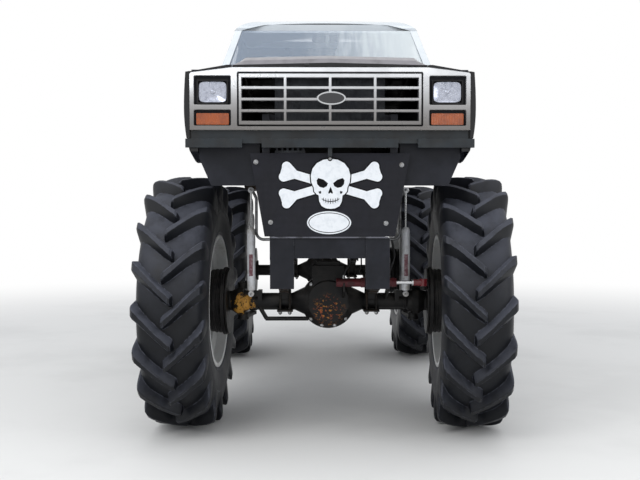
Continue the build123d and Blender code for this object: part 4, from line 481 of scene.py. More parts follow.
class Shape:
    """Points and faces gathered for one piece."""

    def __init__(self):
        self.points, self.faces = [], []

    def join(self, points, faces):
        """Adds points, and faces numbered from the first of them."""
        start = len(self.points)
        self.points += [Vector(p) for p in points]
        self.faces += [[start + i for i in face] for face in faces]
        return self

    def turned(self, profile, start, axis, sides=32, closed=False):
        """A profile of (along, radius) turned about an axis; an open one is closed by its end discs."""
        axis = Vector(axis).normalized()
        across = axis.orthogonal().normalized()
        up = axis.cross(across)
        points = []
        for along, radius in profile:
            points += ring(Vector(start) + axis * along, across, up, radius, sides)
        faces = net(len(profile), sides, rows_close=closed)
        return self.join(points, faces if closed else faces + ends(len(profile), sides))

    def hex_bolt(self, place, axis, across):
        """A washer and a six-sided head with a chamfered top."""
        r = across / 2
        self.turned([(0, r * 1.5), (0.0025, r * 1.5)], place, axis, 20)
        head = [(0.002, r * 1.15), (0.002 + r * 0.95, r * 1.15), (0.002 + r * 1.15, r * 0.95)]
        return self.turned(head, place, axis, 6)

    def tube(self, path, radius, sides=12):
        """A round tube through points, with its corners already rounded."""
        points = []
        across = None
        for i, point in enumerate(path):
            ahead = Vector(path[min(i + 1, len(path) - 1)]) - Vector(path[max(i - 1, 0)])
            ahead.normalize()
            across = across or ahead.orthogonal()
            across = across - ahead * ahead.dot(across)
            across.normalize()
            points += ring(Vector(point), across, ahead.cross(across), radius, sides)
        return self.join(points, net(len(path), sides) + ends(len(path), sides))

    def sheet(self, outline, origin, across, up, thickness, chamfer=0.0):
        """A flat piece cut to an outline of (across, up), thickness towards across x up."""
        across, up = Vector(across), Vector(up)
        out = across.cross(up).normalized()
        middle = Vector((sum(p[0] for p in outline), sum(p[1] for p in outline))) / len(outline)
        layers = [(0.0, 0.0), (thickness - chamfer, 0.0)] + ([(thickness, chamfer)] if chamfer else [])
        points = []
        for depth, shrink in layers:
            for u, v in outline:
                inward = (middle - Vector((u, v))).normalized() * shrink
                points.append(Vector(origin) + across * (u + inward.x) + up * (v + inward.y) + out * depth)
        return self.join(points, net(len(layers), len(outline)) + ends(len(layers), len(outline)))

    def skin(self, rings, solid=False):
        """A surface over rings of equally many points, closed at the last ring, and at the first if solid."""
        first, last = ends(len(rings), len(rings[0]))
        faces = net(len(rings), len(rings[0])) + [last]
        return self.join([p for row in rings for p in row], faces + [first] if solid else faces)

    def band(self, outer, inner, origin):
        """A thin flat strip between two outlines of equally many points, facing the truck's front."""
        points = [(origin[0] + u, origin[1], origin[2] + v) for u, v in outer + inner]
        n = len(outer)
        return self.join(points, [(k, (k + 1) % n, n + (k + 1) % n, n + k) for k in range(n)])

    def moved(self, matrix):
        """The same shape put in its place by a matrix."""
        self.points = [matrix @ p for p in self.points]
        return self

    def mirrored(self):
        """The same shape on the other side of the truck."""
        self.points = [Vector((-p.x, p.y, p.z)) for p in self.points]
        self.faces = [face[::-1] for face in self.faces]
        return self

    def made(self, name, material, body, replaces=(), sharp=32, slot=None):
        """The piece itself, riding on a body; edges over sharp degrees stay crisp."""
        mesh = bpy.data.meshes.new(name)
        mesh.from_pydata([tuple(p) for p in self.points], [], self.faces)
        mesh.materials.append(material)
        mesh.shade_smooth()
        mesh.set_sharp_from_angle(angle=math.radians(sharp))
        piece = bpy.data.objects.new(name, mesh)
        bpy.context.scene.collection.objects.link(piece)
        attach(piece, body)
        if replaces:
            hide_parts(*replaces)
        return piece


def oval(half_wide, half_high, count=48, centre=(0.0, 0.0)):
    """An oval outline about its centre."""
    turns = [2 * math.pi * k / count for k in range(count)]
    return [(centre[0] + half_wide * math.cos(t), centre[1] + half_high * math.sin(t)) for t in turns]


def rectangle(half_wide, half_high):
    """A rectangular outline about its middle."""
    return [(x * half_wide, y * half_high) for x, y in ((-1, -1), (1, -1), (1, 1), (-1, 1))]


def rounded_square(half_wide, half_high, count=48, power=5):
    """An outline between an oval and a rectangle, as the front of a sealed lamp has."""
    outline = []
    for k in range(count):
        turn = 2 * math.pi * k / count
        u, v = math.cos(turn), math.sin(turn)
        reach = (abs(u) ** power + abs(v) ** power) ** (-1 / power)
        outline.append((half_wide * u * reach, half_high * v * reach))
    return outline


def wheel_place(end, hand):
    """Where a wheel's own axes sit: X along its axle, turned with the parked steering at the front."""
    side = SIDES[hand]
    y = FRONT_AXLE_Y if end == "front" else REAR_AXLE_Y
    place = Matrix.Translation((side * WHEEL_X, y, AXLE_Z))
    if end == "front":
        kingpin = Matrix.Translation((side * KINGPIN_X, y, 0))
        place = kingpin @ Matrix.Rotation(PARKED_STEER, 4, "Z") @ kingpin.inverted() @ place
    return place


# ---------------------------------------------------------------- tyres and wheels

LUGS = 18
# how far a lug runs round the tyre from its middle to its shoulder, in radians
LUG_LEAD = 0.230
# half of the casing's section, from the middle of the tread to the bead, as (across, radius)
CASING = [
    (0.0, 0.872), (0.060, 0.871), (0.120, 0.866), (0.160, 0.858), (0.188, 0.846), (0.208, 0.828),
    (0.222, 0.803), (0.232, 0.772), (0.239, 0.740), (0.244, 0.712), (0.2465, 0.690), (0.2435, 0.684),
    (0.2455, 0.676), (0.2445, 0.640), (0.2410, 0.600), (0.2360, 0.560), (0.2310, 0.536), (0.2330, 0.530),
    (0.2300, 0.522), (0.2205, 0.508), (0.2170, 0.497), (0.2160, 0.487),
]
# a lug from the middle of the tread down the shoulder: its crest, its foot, its lead and its half widths
LUG_STATIONS = [
    # crest across, crest radius, foot across, foot radius, share of lead, crest half width, foot half width
    (-0.036, 0.900, -0.042, 0.868, -0.13, 0.012, 0.026),
    (-0.030, 0.936, -0.038, 0.868, -0.11, 0.019, 0.040),
    (-0.014, 0.9460, -0.022, 0.868, -0.06, 0.0235, 0.050),
    (0.030, 0.9456, 0.030, 0.868, 0.12, 0.0230, 0.052),
    (0.080, 0.9440, 0.080, 0.866, 0.34, 0.0230, 0.054),
    (0.125, 0.9404, 0.125, 0.862, 0.55, 0.0235, 0.057),
    (0.165, 0.9360, 0.165, 0.855, 0.73, 0.0245, 0.060),
    (0.200, 0.9290, 0.196, 0.842, 0.88, 0.0265, 0.064),
    (0.228, 0.9180, 0.214, 0.822, 0.99, 0.0290, 0.068),
    (0.2430, 0.8980, 0.226, 0.795, 1.06, 0.0300, 0.068),
    (0.2480, 0.8680, 0.234, 0.765, 1.10, 0.0280, 0.062),
    (0.2500, 0.8320, 0.240, 0.735, 1.13, 0.0230, 0.050),
    (0.2505, 0.7960, 0.2440, 0.712, 1.15, 0.0150, 0.034),
    (0.2495, 0.7660, 0.2450, 0.700, 1.17, 0.0080, 0.018),
]
# in a wheel's own axes
WHEEL_MIDDLE, OUTWARDS = Vector((0, 0, 0)), Vector((1, 0, 0))


def tyre_shape(phase):
    """A farm tyre: a casing of revolution and staggered lugs that wrap down over the shoulders."""
    shape = Shape()
    inside = [(x - 0.028 if x > 0.2 else x, r - 0.03) for x, r in CASING if r > 0.53][::-1]
    half = CASING + [(0.190, 0.487), (0.190, 0.520)] + inside
    profile = half + [(-x, r) for x, r in half[::-1] if x > 0]
    shape.turned(profile, WHEEL_MIDDLE, OUTWARDS, 144, closed=True)
    for flank in (1, -1):
        for number in range(LUGS):
            middle = phase + 2 * math.pi * (number + (0.5 if flank < 0 else 0.0)) / LUGS
            points = []
            for crest_x, crest_r, foot_x, foot_r, lead, crest_half, foot_half in LUG_STATIONS:
                turn = middle + LUG_LEAD * lead
                section = (
                    (-foot_half, foot_x, foot_r - 0.006),
                    (-crest_half - 0.006, crest_x - 0.002, crest_r - 0.009),
                    (-crest_half + 0.003, crest_x, crest_r),
                    (crest_half - 0.003, crest_x, crest_r),
                    (crest_half + 0.006, crest_x - 0.002, crest_r - 0.009),
                    (foot_half, foot_x, foot_r - 0.006),
                )
                for along, x, r in section:
                    angle = turn + along / r
                    points.append((flank * x, -r * math.cos(angle), r * math.sin(angle)))
            rows, columns = len(LUG_STATIONS), len(section)
            faces = net(rows, columns, columns_close=False) + ends(rows, columns)
            shape.join(points, faces if flank < 0 else [face[::-1] for face in faces])
    return shape


RIM_SECTION = [
    (-0.226, 0.506), (-0.230, 0.498), (-0.226, 0.473), (-0.151, 0.473), (-0.126, 0.427), (0.036, 0.427),
    (0.076, 0.473), (0.226, 0.473), (0.230, 0.498), (0.226, 0.506), (0.217, 0.506), (0.217, 0.482),
    (0.072, 0.482), (0.032, 0.436), (-0.130, 0.436), (-0.155, 0.482), (-0.217, 0.482), (-0.217, 0.506),
]
DISC_SECTION = [
    (DRUM_FACE, 0.090), (DRUM_FACE, 0.185), (-0.110, 0.250), (-0.068, 0.318), (-0.059, 0.335),
    (-0.059, 0.427), (-0.045, 0.427), (-0.045, 0.330), (-0.056, 0.312), (-0.096, 0.244), (-0.140, 0.180),
    (-0.140, 0.090),
]
DRUM_SECTION = [
    (-0.293, 0.252), (-0.293, 0.258), (-0.268, 0.258), (-0.262, 0.240), (-0.250, 0.238), (-0.246, 0.243),
    (-0.236, 0.243), (-0.232, 0.238), (-0.220, 0.238), (-0.216, 0.243), (-0.206, 0.243), (-0.202, 0.238),
    (-0.176, 0.238), (DRUM_FACE, 0.216), (DRUM_FACE, 0.088), (-0.066, 0.088), (-0.066, 0.070),
    (-0.040, 0.066), (-0.036, 0.054), (-0.036, 0.001), (-0.172, 0.001), (-0.172, 0.220), (-0.293, 0.220),
]
# how far each tyre has rolled on, in radians, in the order of WHEELS
TYRE_PHASES = dict(zip(WHEELS, (0.17, 0.12, 0.10, 0.25)))
# the ten wheel nuts, the eight hub bolts and the valve stem: how far out, circle or radius, and size
NUT_SEAT, NUT_CIRCLE, NUT_SIZE = Vector((-0.140, 0, 0)), 0.1429, 0.024
HUB_SEAT, HUB_CIRCLE, HUB_BOLT_SIZE = Vector((-0.066, 0, 0)), 0.077, 0.012
VALVE_TURN = 0.3
VALVE_ENDS = [(0.020, 0.455), (0.050, 0.440)]

for end, hand in WHEELS:
    rim = Shape()
    for section in (RIM_SECTION, DISC_SECTION):
        rim.turned(section, WHEEL_MIDDLE, OUTWARDS, 96, closed=True)
    drum = Shape().turned(DRUM_SECTION, WHEEL_MIDDLE, OUTWARDS, 72, closed=True)
    nuts = Shape()
    for place in ring(NUT_SEAT, REAR, UP, NUT_CIRCLE, 10):
        nuts.hex_bolt(place, OUTWARDS, NUT_SIZE)
    for place in ring(HUB_SEAT, REAR, UP, HUB_CIRCLE, 8, 0.5):
        nuts.hex_bolt(place, OUTWARDS, HUB_BOLT_SIZE)
    nuts.tube([(x, r * math.cos(VALVE_TURN), r * math.sin(VALVE_TURN)) for x, r in VALVE_ENDS], 0.005, 10)
    for name, shape, material, slot, stood_for in (
        ("tyre", tyre_shape(TYRE_PHASES[end, hand]), finishes["tyre_rubber"], "tyre_rubber", ("tyre",)),
        ("rim", rim, finishes["rim_paint"], "rim_paint", ("wheel",)),
        ("drum", drum, drum_black, "axle_iron", ()),
        ("nuts", nuts, bolt_zinc, "rim_paint", ()),
    ):
        if hand == "right":
            shape.mirrored()
        replaced = tuple(f"{node}_{end}_{hand}" for node in stood_for)
        shape.moved(wheel_place(end, hand))
        shape.made(f"{name}_{end}_{hand}", material, f"wheel_{end}_{hand}", replaced, 28, slot)


# ---------------------------------------------------------------- front plate

plate_bolts = Shape()
for x, z in ((-0.509, 1.972), (0.493, 1.953), (-0.409, 1.559), (0.386, 1.552)):
    plate_bolts.hex_bolt((x, PLATE_FACE_Y, z), -REAR, 0.022)
plate_bolts.hex_bolt((0.0, PLATE_FACE_Y - 0.0048, 1.995), -REAR, 0.014)
plate_bolts.made("plate_bolts", bolt_zinc, "chassis")

# the lip of the angle iron that the plate stands on, pale grey: a painted highlight where its top catches the
# sky
lip = Shape().sheet(rectangle(0.405, 0.005), (0, -2.4665, 1.4545), LEFT, UP, 0.007, 0.002)
lip.made("plate_lip_highlight", highlight_steel, "chassis")

# a plain skull over two crossed bones, cut from white sheet; dark patches stand for its hollows
FIGURE_X, FIGURE_Z = 0.004, 1.815
KNOB, BONE_HALF = 0.033, 0.029
TEETH = range(-3, 4)
TOOTH_PITCH = 0.0165


def bone(start, end, rim=0.0):
    """A straight bone: a shaft with two round knobs at each end, wider by rim all round."""
    a, b = Vector(start), Vector(end)
    along = (b - a).normalized()
    across = Vector((-along.y, along.x))
    knob, half_wide = KNOB + rim, BONE_HALF + rim
    outline = []
    for at, way in ((b, 1), (a, -1)):
        for flank in (-1, 1):
            centre = at + way * across * flank * 0.037
            first = math.atan2(along.y * way, along.x * way) + (-2.2 if flank < 0 else -0.5)
            for k in range(9):
                turn = first + 2.7 * k / 8
                outline.append(tuple(centre + knob * Vector((math.cos(turn), math.sin(turn)))))
        for reach in (0.075, (b - a).length - 0.075):
            outline.append(tuple(at - way * along * reach + way * across * half_wide))
    return outline


BONES = (((-0.312, 0.092), (0.312, -0.092)), ((-0.312, -0.092), (0.312, 0.092)))
SKULL = [
    (0.0, 0.180), (0.050, 0.173), (0.094, 0.150), (0.124, 0.112), (0.136, 0.066), (0.132, 0.018),
    (0.116, -0.016), (0.113, -0.044), (0.098, -0.062), (0.082, -0.072), (0.078, -0.112), (0.062, -0.144),
    (0.032, -0.160), (0.0, -0.164),
]
EYE = [
    (0.018, 0.012), (0.026, -0.008), (0.048, -0.020), (0.074, -0.014), (0.092, 0.006), (0.096, 0.032),
    (0.084, 0.048), (0.046, 0.036),
]
NOSE = [(0.0, -0.012), (0.008, -0.030), (0.016, -0.052), (0.013, -0.060), (0.004, -0.056), (0.0, -0.050)]
CHEEK = [(0.066, -0.040), (0.084, -0.046), (0.076, -0.060), (0.064, -0.058)]
GRIN = [(-0.062, -0.092), (-0.034, -0.106), (0.0, -0.111), (0.034, -0.106), (0.062, -0.092)]
GRIN += [(0.060, -0.097), (0.034, -0.112), (0.0, -0.117), (-0.034, -0.112), (-0.060, -0.097)]


def mirror_line(half, grow=1.0):
    """A whole outline from its half on the truck's left, grown by a share."""
    return [(x * grow, z * grow) for x, z in half + [(-x, z) for x, z in half[-2:0:-1]]][::-1]


def cut_out(shape, outline, lift, thickness=0.0005):
    """One layer of the figure's stack of thin sheets, lift in front of the plate."""
    return shape.sheet(outline, (FIGURE_X, PLATE_FACE_Y - lift, FIGURE_Z), LEFT, UP, thickness)


bones, borders, skull, hollows = Shape(), Shape(), Shape(), Shape()
for number, (start, end) in enumerate(BONES):
    cut_out(borders, bone(start, end, 0.008), 0.0002 + 0.0012 * number)
    cut_out(bones, bone(start, end), 0.0008 + 0.0012 * number)
cut_out(borders, mirror_line(SKULL, 1.06), 0.0026)
cut_out(skull, mirror_line(SKULL), 0.0032, 0.0008)
for flank in (1, -1):
    for half in (EYE, NOSE, CHEEK):
        cut_out(hollows, [(flank * x, z) for x, z in half], 0.0041)
for k in TEETH:
    x, gum = k * TOOTH_PITCH, -0.112 + 0.0014 * k * k
    gap = rectangle(0.002, 0.018 - abs(k) * 0.002)
    cut_out(hollows, [(x + u, gum + v) for u, v in gap], 0.0047)
cut_out(hollows, GRIN[::-1], 0.0041)
cut_out(hollows, oval(0.017, 0.017, 24, (-0.004, 0.180)), 0.0041, 0.0008)
for name, shape, material in (
    ("crossed_bones", bones, decal_white),
    ("figure_border", borders, decal_black),
    ("skull", skull, decal_white),
    ("skull_hollows", hollows, decal_black),
):
    shape.made(name, material, "chassis", sharp=60)

# a bare oval sticker under the figure, with a thin line inside its edge
STICKER_X, STICKER_Z = -0.006, 1.556
sticker = Shape().sheet(oval(0.152, 0.079), (STICKER_X, PLATE_FACE_Y, STICKER_Z), LEFT, UP, 0.0008)
sticker.made("blank_sticker", decal_white, "chassis", sharp=60)
line_place = (STICKER_X, PLATE_FACE_Y - 0.0012, STICKER_Z)
sticker_line = Shape().band(oval(0.142, 0.070), oval(0.137, 0.065), line_place)
sticker_line.made("sticker_line", decal_black, "chassis")


# ---------------------------------------------------------------- front of the body

BADGE_PLACE = Vector((0.008, GRILLE_FACE_Y - 0.001, 2.402))
FIELD_PLACE = BADGE_PLACE - 0.0050 * REAR
badge = Shape().sheet(oval(0.099, 0.046), BADGE_PLACE, LEFT, UP, 0.0055, 0.002)
badge.made("badge_rim", badge_rim, "chassis")
field = Shape().sheet(oval(0.088, 0.036), FIELD_PLACE, LEFT, UP, 0.0012)
field.made("badge_field", badge_field, "chassis")

LAMP_X, LAMP_Z = 0.799, 2.446
LAMP_BACK_Y, LENS_RIM_Y = -2.4900, -2.5085
bowls, lenses = Shape(), Shape()
for side in SIDES.values():
    middle = Vector((side * LAMP_X, 0, LAMP_Z))
    bowl, lens_rings = [], []
    for share in (1.0, 0.96, 0.88, 0.76, 0.62, 0.46, 0.32, 0.20):
        outline = rounded_square(0.093 * share, 0.069 * share, power=2 + 4 * share)
        bowl.append([middle + Vector((u, LAMP_BACK_Y - 0.002 - 0.016 * share**2, v)) for u, v in outline])
    for share in (1.0, 0.985, 0.94, 0.86, 0.72, 0.54, 0.34, 0.14):
        outline = rounded_square(0.094 * share, 0.070 * share, power=2 + 4 * share)
        depth = LENS_RIM_Y - (0.0 if share == 1.0 else 0.0085 - 0.005 * share**2)
        lens_rings.append([middle + Vector((u, depth, v)) for u, v in outline])
    bowls.skin(bowl)
    shield = [(0.0, 0.017), (0.004, 0.017), (0.008, 0.014), (0.0105, 0.008), (0.011, 0.002)]
    bowls.turned(shield, middle + Vector((0, LAMP_BACK_Y - 0.002, 0.004)), -REAR, 24)
    lenses.skin(lens_rings)
bowls.made("lamp_bowls", lamp_silver, "chassis", slot="lamp_glass")
lenses.made("lamp_lenses", finishes["lamp_glass"], "chassis", ("headlamps",), 50, "lamp_glass")

# the tongue of the hood catch, beside the middle
CATCH_OUTLINE = [(-0.017, -0.005), (0.017, -0.005), (0.014, 0.006), (-0.014, 0.006)]
catch = Shape().sheet(CATCH_OUTLINE, (-0.158, -2.5118, 2.633), LEFT, UP, 0.006, 0.001)
catch.made("hood_catch", mirror_black, "hood")


# ---------------------------------------------------------------- tailgate

# pressed steel skin with a sunk panel, and the pull handle in the panel
GATE_MIDDLE = Vector((0, 0, 2.4245))
rings = []
for half_wide, half_high, y in (
    (0.848, 0.3205, 2.6785),
    (0.848, 0.3205, 2.7200),
    (0.8445, 0.3170, 2.7235),
    (0.752, 0.232, 2.7235),
    (0.742, 0.222, 2.7165),
):
    outline = rounded_square(half_wide, half_high, 96, 60)
    rings.append([GATE_MIDDLE + Vector((u, y, v)) for u, v in outline][::-1])
gate = Shape().skin(rings, solid=True)
gate.made("tailgate_skin", finishes["body_paint"], "tailgate", ("tailgate",), 50, "body_paint")
pull, pull_well = Shape(), Shape()
pull_well.sheet(rounded_square(0.090, 0.034)[::-1], (0, 2.7165, 2.585), LEFT, -UP, 0.002, 0.001)
pull.sheet(rounded_square(0.078, 0.018)[::-1], (0, 2.7185, 2.588), LEFT, -UP, 0.0045, 0.002)
pull_well.made("tailgate_well", mirror_black, "tailgate")
pull.made("tailgate_handle", handle_chrome, "tailgate")


# ---------------------------------------------------------------- cab

# the windshield: its foot in the middle, the way up its slope and the way off its face
GLASS_FOOT = Vector((0, -1.1325, 2.792))
GLASS_UP = Vector((0, 0.442, 0.446)).normalized()
GLASS_OUT = Vector((0, -GLASS_UP.z, GLASS_UP.y))


def on_glass(x, up, off):
    """A point up the windshield from its foot and off its face."""
    return Vector((x, 0, 0)) + GLASS_FOOT + GLASS_UP * up + GLASS_OUT * off


# the parts of one wiper as (across from its foot, up, off the glass): its arm, its bow and its blade
WIPER_PARTS = (
    (((0.0, 0.030, 0.015), (-0.12, 0.040, 0.022), (-0.25, 0.046, 0.018)), 0.005, 8),
    (((-0.02, 0.052, 0.008), (-0.25, 0.050, 0.013), (-0.47, 0.052, 0.008)), 0.004, 8),
    (((-0.01, 0.052, 0.004), (-0.48, 0.052, 0.004)), 0.003, 6),
)
WIPER_PIVOT = [(-0.012, 0.016), (0.010, 0.016), (0.016, 0.012)]
wipers = Shape()
for foot in (-0.10, 0.46):
    wipers.turned(WIPER_PIVOT, on_glass(foot, 0.030, 0.004), GLASS_OUT, 20)
    for line, radius, sides in WIPER_PARTS:
        wipers.tube([on_glass(foot + x, up, off) for x, up, off in line], radius, sides)
wipers.made("wipers", wiper_rubber, "chassis")

# the inner mirror, tipped a little down, on its stalk
mirror_outline = rounded_square(0.120, 0.028)
inner_mirror = Shape().sheet(mirror_outline, (0.0, -0.700, 3.125), LEFT, (0, 0.1, 1), 0.012, 0.004)
inner_mirror.tube([(0.0, -0.690, 3.130), (0.0, -0.684, 3.150), (0.0, -0.690, 3.178)], 0.006, 10)
inner_mirror.made("inner_mirror", mirror_black, "chassis")


def side_of(node, y, z):
    """How far out a door's outer face stands at a place."""
    piece = frame["nodes"][node]
    side = 1 if node.endswith("left") else -1
    point = piece.ray_cast(Vector((side * 1.5, y, z)), -side * LEFT)[1]
    return abs(point.x)


HANDLE_Y, HANDLE_Z = -0.235, 2.60
for hand, side in SIDES.items():
    place = (side * side_of(f"door_{hand}", HANDLE_Y, HANDLE_Z), HANDLE_Y, HANDLE_Z)
    well = Shape().sheet(rounded_square(0.078, 0.030), (0, 0, 0), REAR, UP, 0.003, 0.001)
    grip = Shape().sheet(rounded_square(0.066, 0.015), (0, 0, 0), REAR, UP, 0.014, 0.004)
    # the lock below the grip
    grip.turned([(0, 0.011), (0.006, 0.011), (0.008, 0.008)], (0, 0, -0.062), LEFT, 24)
    for name, shape, material in (("handle_well", well, mirror_black), ("door_handle", grip, handle_chrome)):
        if side < 0:
            shape.mirrored()
        shape.moved(Matrix.Translation(place)).made(f"{name}_{hand}", material, f"door_{hand}")


# ---------------------------------------------------------------- axles, springs and steering

# a spring clamp: half its bolts' spacing along and across the leaves, and its lower plate's height
CLAMP_LONG, CLAMP_WIDE, CLAMP_PLATE_Z = 0.085, 0.036, 0.872
CLAMP_FOOT_Z, CLAMP_BEND_Z = 0.850, 1.050
CLAMP_TURNS = (0.3, 0.7, 1.1, 1.5708, 2.0, 2.4, 2.8)
# the bolts round the cover of the differential
COVER_CIRCLE, COVER_OUT = 0.184, 0.0745

u_bolts, nuts = Shape(), Shape()
for axle_y, way in ((FRONT_AXLE_Y, -1), (REAR_AXLE_Y, 1)):
    for side in SIDES.values():
        for x in (side * SPRING_X - CLAMP_WIDE, side * SPRING_X + CLAMP_WIDE):
            path = [(-CLAMP_LONG, CLAMP_FOOT_Z), (-CLAMP_LONG, CLAMP_BEND_Z)]
            path += [(-CLAMP_LONG * math.cos(t), CLAMP_BEND_Z + 0.026 * math.sin(t)) for t in CLAMP_TURNS]
            path += [(CLAMP_LONG, CLAMP_BEND_Z), (CLAMP_LONG, CLAMP_FOOT_Z)]
            u_bolts.tube([(x, axle_y + along, z) for along, z in path], 0.008, 10)
            for along in (-CLAMP_LONG, CLAMP_LONG):
                nuts.hex_bolt((x, axle_y + along, CLAMP_PLATE_Z), -UP, 0.026)
        clamp_plate = rectangle(0.060, 0.105)
        u_bolts.sheet(clamp_plate, (side * SPRING_X, axle_y, CLAMP_PLATE_Z), LEFT, REAR, 0.014, 0.003)
    cover = Vector((0, axle_y + way * COVER_OUT, AXLE_Z))
    for place in ring(cover, LEFT, UP, COVER_CIRCLE, 12, 0.5):
        nuts.hex_bolt(place, way * REAR, 0.018)
u_bolts.made("spring_clamps", finishes["spring_steel"], "chassis", slot="spring_steel")
nuts.made("axle_nuts", bolt_zinc, "chassis")

for hand, side in SIDES.items():
    caps = Shape()
    for way in (1, -1):
        foot = Vector((side * KINGPIN_X, FRONT_AXLE_Y, AXLE_Z + way * 0.130))
        caps.turned([(0, 0.044), (0.009, 0.044), (0.012, 0.040)], foot, way * UP, 28)
        for place in ring(foot + way * 0.012 * UP, LEFT, REAR, 0.029, 4, 0.5):
            caps.hex_bolt(place, way * UP, 0.012)
    paint = yellow_casting if hand == "right" else drum_black
    caps.made(f"kingpin_caps_{hand}", paint, f"knuckle_{hand}", slot="axle_iron")

# red steering ram: a gland nut, a rear collar, and two rubber hoses down from the frame
RAM_Y, RAM_Z = -2.0494, 1.108
fittings, hoses = Shape(), Shape()
fittings.turned([(0, 0.037), (0.022, 0.037), (0.026, 0.033)], (0.462, RAM_Y, RAM_Z), LEFT, 6)
fittings.turned([(0, 0.034), (0.003, 0.037), (0.030, 0.037), (0.033, 0.034)], (0.235, RAM_Y, RAM_Z), LEFT, 32)
fittings.made("ram_fittings", finishes["ram_paint"], "chassis", slot="ram_paint")
PORT_SECTION = [(0, 0.013), (0.016, 0.013), (0.016, 0.010), (0.026, 0.010)]
PORT_Z = RAM_Z + 0.034
HOSE_BOW, HOSE_SAG = Vector((0.030, -0.012, 0)), Vector((0, 0, 0.02))
HOSE_STEPS = 16
ports = Shape()
for x, top in ((0.440, (0.470, -1.985, 1.420)), (0.110, (0.200, -1.960, 1.420))):
    ports.turned(PORT_SECTION, (x, RAM_Y, PORT_Z - 0.006), UP, 6)
    first, last = Vector((x, RAM_Y, PORT_Z + 0.018)), Vector(top)
    path = []
    for k in range(HOSE_STEPS + 1):
        t = k / HOSE_STEPS
        bent = HOSE_BOW * math.sin(math.pi * t) + HOSE_SAG * math.sin(2 * math.pi * t)
        path.append(first.lerp(last, t) + bent)
    hoses.tube(path, 0.008, 12)
ports.made("ram_ports", bolt_zinc, "chassis")
hoses.made("ram_hoses", wiper_rubber, "chassis")

# shock absorbers: a tube with a domed top, a thin rod, and an eye with its bolt at both ends
SHOCK_FOOT, SHOCK_HEAD = 1.016, 1.789
# how far the shock absorbers stand ahead of the front axle and behind the rear one
SHOCK_OFF = 0.170
TUBE_SECTION = [
    (0.018, 0.010), (0.024, 0.022), (0.030, 0.0295), (0.040, 0.031), (0.466, 0.031), (0.482, 0.028),
    (0.493, 0.020), (0.498, 0.009),
]
EYE_HALF = 0.024
EYE_SECTION = [(-EYE_HALF, 0.019), (-0.022, 0.0215), (0.022, 0.0215), (EYE_HALF, 0.019)]
tubes, rods, eye_bolts = Shape(), Shape(), Shape()
for axle_y, way in ((FRONT_AXLE_Y, -1), (REAR_AXLE_Y, 1)):
    for side in SIDES.values():
        place = Vector((side * SHOCK_X, axle_y + way * SHOCK_OFF, 0))
        tubes.turned(TUBE_SECTION, place + SHOCK_FOOT * UP, UP, 40)
        rods.turned([(0.49, 0.0075), (0.760, 0.0075)], place + SHOCK_FOOT * UP, UP, 20)
        for z in (SHOCK_FOOT, SHOCK_HEAD):
            tubes.turned(EYE_SECTION, place + z * UP, REAR, 32)
            for out in (-REAR, REAR):
                eye_bolts.hex_bolt(place + out * EYE_HALF + z * UP, out, 0.014)
tubes.made("shock_tubes", finishes["shock_paint"], "chassis", ("shock_absorbers",), 40, "shock_paint")
rods.made("shock_rods", handle_chrome, "chassis")
eye_bolts.made("shock_bolts", bolt_zinc, "chassis")

# a plain stripe up the front of each front tube, 52 degrees round and just off its paint
STRIPE_RADIUS, STRIPE_LOW, STRIPE_HIGH, STRIPE_STEPS = 0.0314, 1.150, 1.312, 8
stripes = Shape()
for side in SIDES.values():
    place = Vector((side * SHOCK_X, FRONT_AXLE_Y - SHOCK_OFF, 0))
    points = []
    for k in range(STRIPE_STEPS + 1):
        turn = -math.pi / 2 + math.radians(-26 + 52 * k / STRIPE_STEPS)
        edge = place + Vector((math.cos(turn), math.sin(turn), 0)) * STRIPE_RADIUS
        points += [edge + STRIPE_LOW * UP, edge + STRIPE_HIGH * UP]
    stripes.join(points, [(2 * k, 2 * k + 2, 2 * k + 3, 2 * k + 1) for k in range(STRIPE_STEPS)])
stripes.made("shock_stripes", stripe_maroon, "chassis", slot="shock_paint")


# ---------------------------------------------------------------- load floor and seat

# the load floor and the panel ahead of it are pressed with a rib every 90 mm
RIB_PITCH = 0.090
RIB_SECTION = [(-0.022, -0.001), (-0.014, 0.006), (0.014, 0.006), (0.022, -0.001)]
FLOOR_LOW, FLOOR_HIGH = (Vector(corner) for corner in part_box("bed_floor"))
LOAD_FLOOR_Z = 2.120
HEAD_PANEL_Y = FLOOR_LOW.y + 0.028
HEAD_RIB_LOW, HEAD_RIB_HIGH = 2.160, 2.690
# the wheelhouses interrupt the ribs beyond this place
WHEELHOUSE_X = 0.530
WHEELHOUSE_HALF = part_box("wheel_liners")[1][1] - REAR_AXLE_Y + 0.02


def pressed_rib(shape, start, end, across, out):
    """A rib 44 mm wide and 6 mm high from start to end, sunk 1 mm in the sheet that it is pressed from."""
    rings = [[Vector(place) + across * u + out * v for u, v in RIB_SECTION] for place in (start, end)]
    return shape.skin(rings, solid=True)


bed_ribs = Shape()
for number in range(-9, 10):
    x = number * RIB_PITCH
    front, rear = HEAD_PANEL_Y + 0.030, FLOOR_HIGH.y - 0.030
    runs = [(front, rear)]
    if abs(x) > WHEELHOUSE_X:
        runs = [(front, REAR_AXLE_Y - WHEELHOUSE_HALF), (REAR_AXLE_Y + WHEELHOUSE_HALF, rear)]
    for start_y, end_y in runs:
        pressed_rib(bed_ribs, (x, start_y, LOAD_FLOOR_Z), (x, end_y, LOAD_FLOOR_Z), -LEFT, UP)
    pressed_rib(bed_ribs, (x, HEAD_PANEL_Y, HEAD_RIB_LOW), (x, HEAD_PANEL_Y, HEAD_RIB_HIGH), LEFT, REAR)
bed_ribs.made("bed_ribs", bed_enamel, "chassis", slot="body_paint")


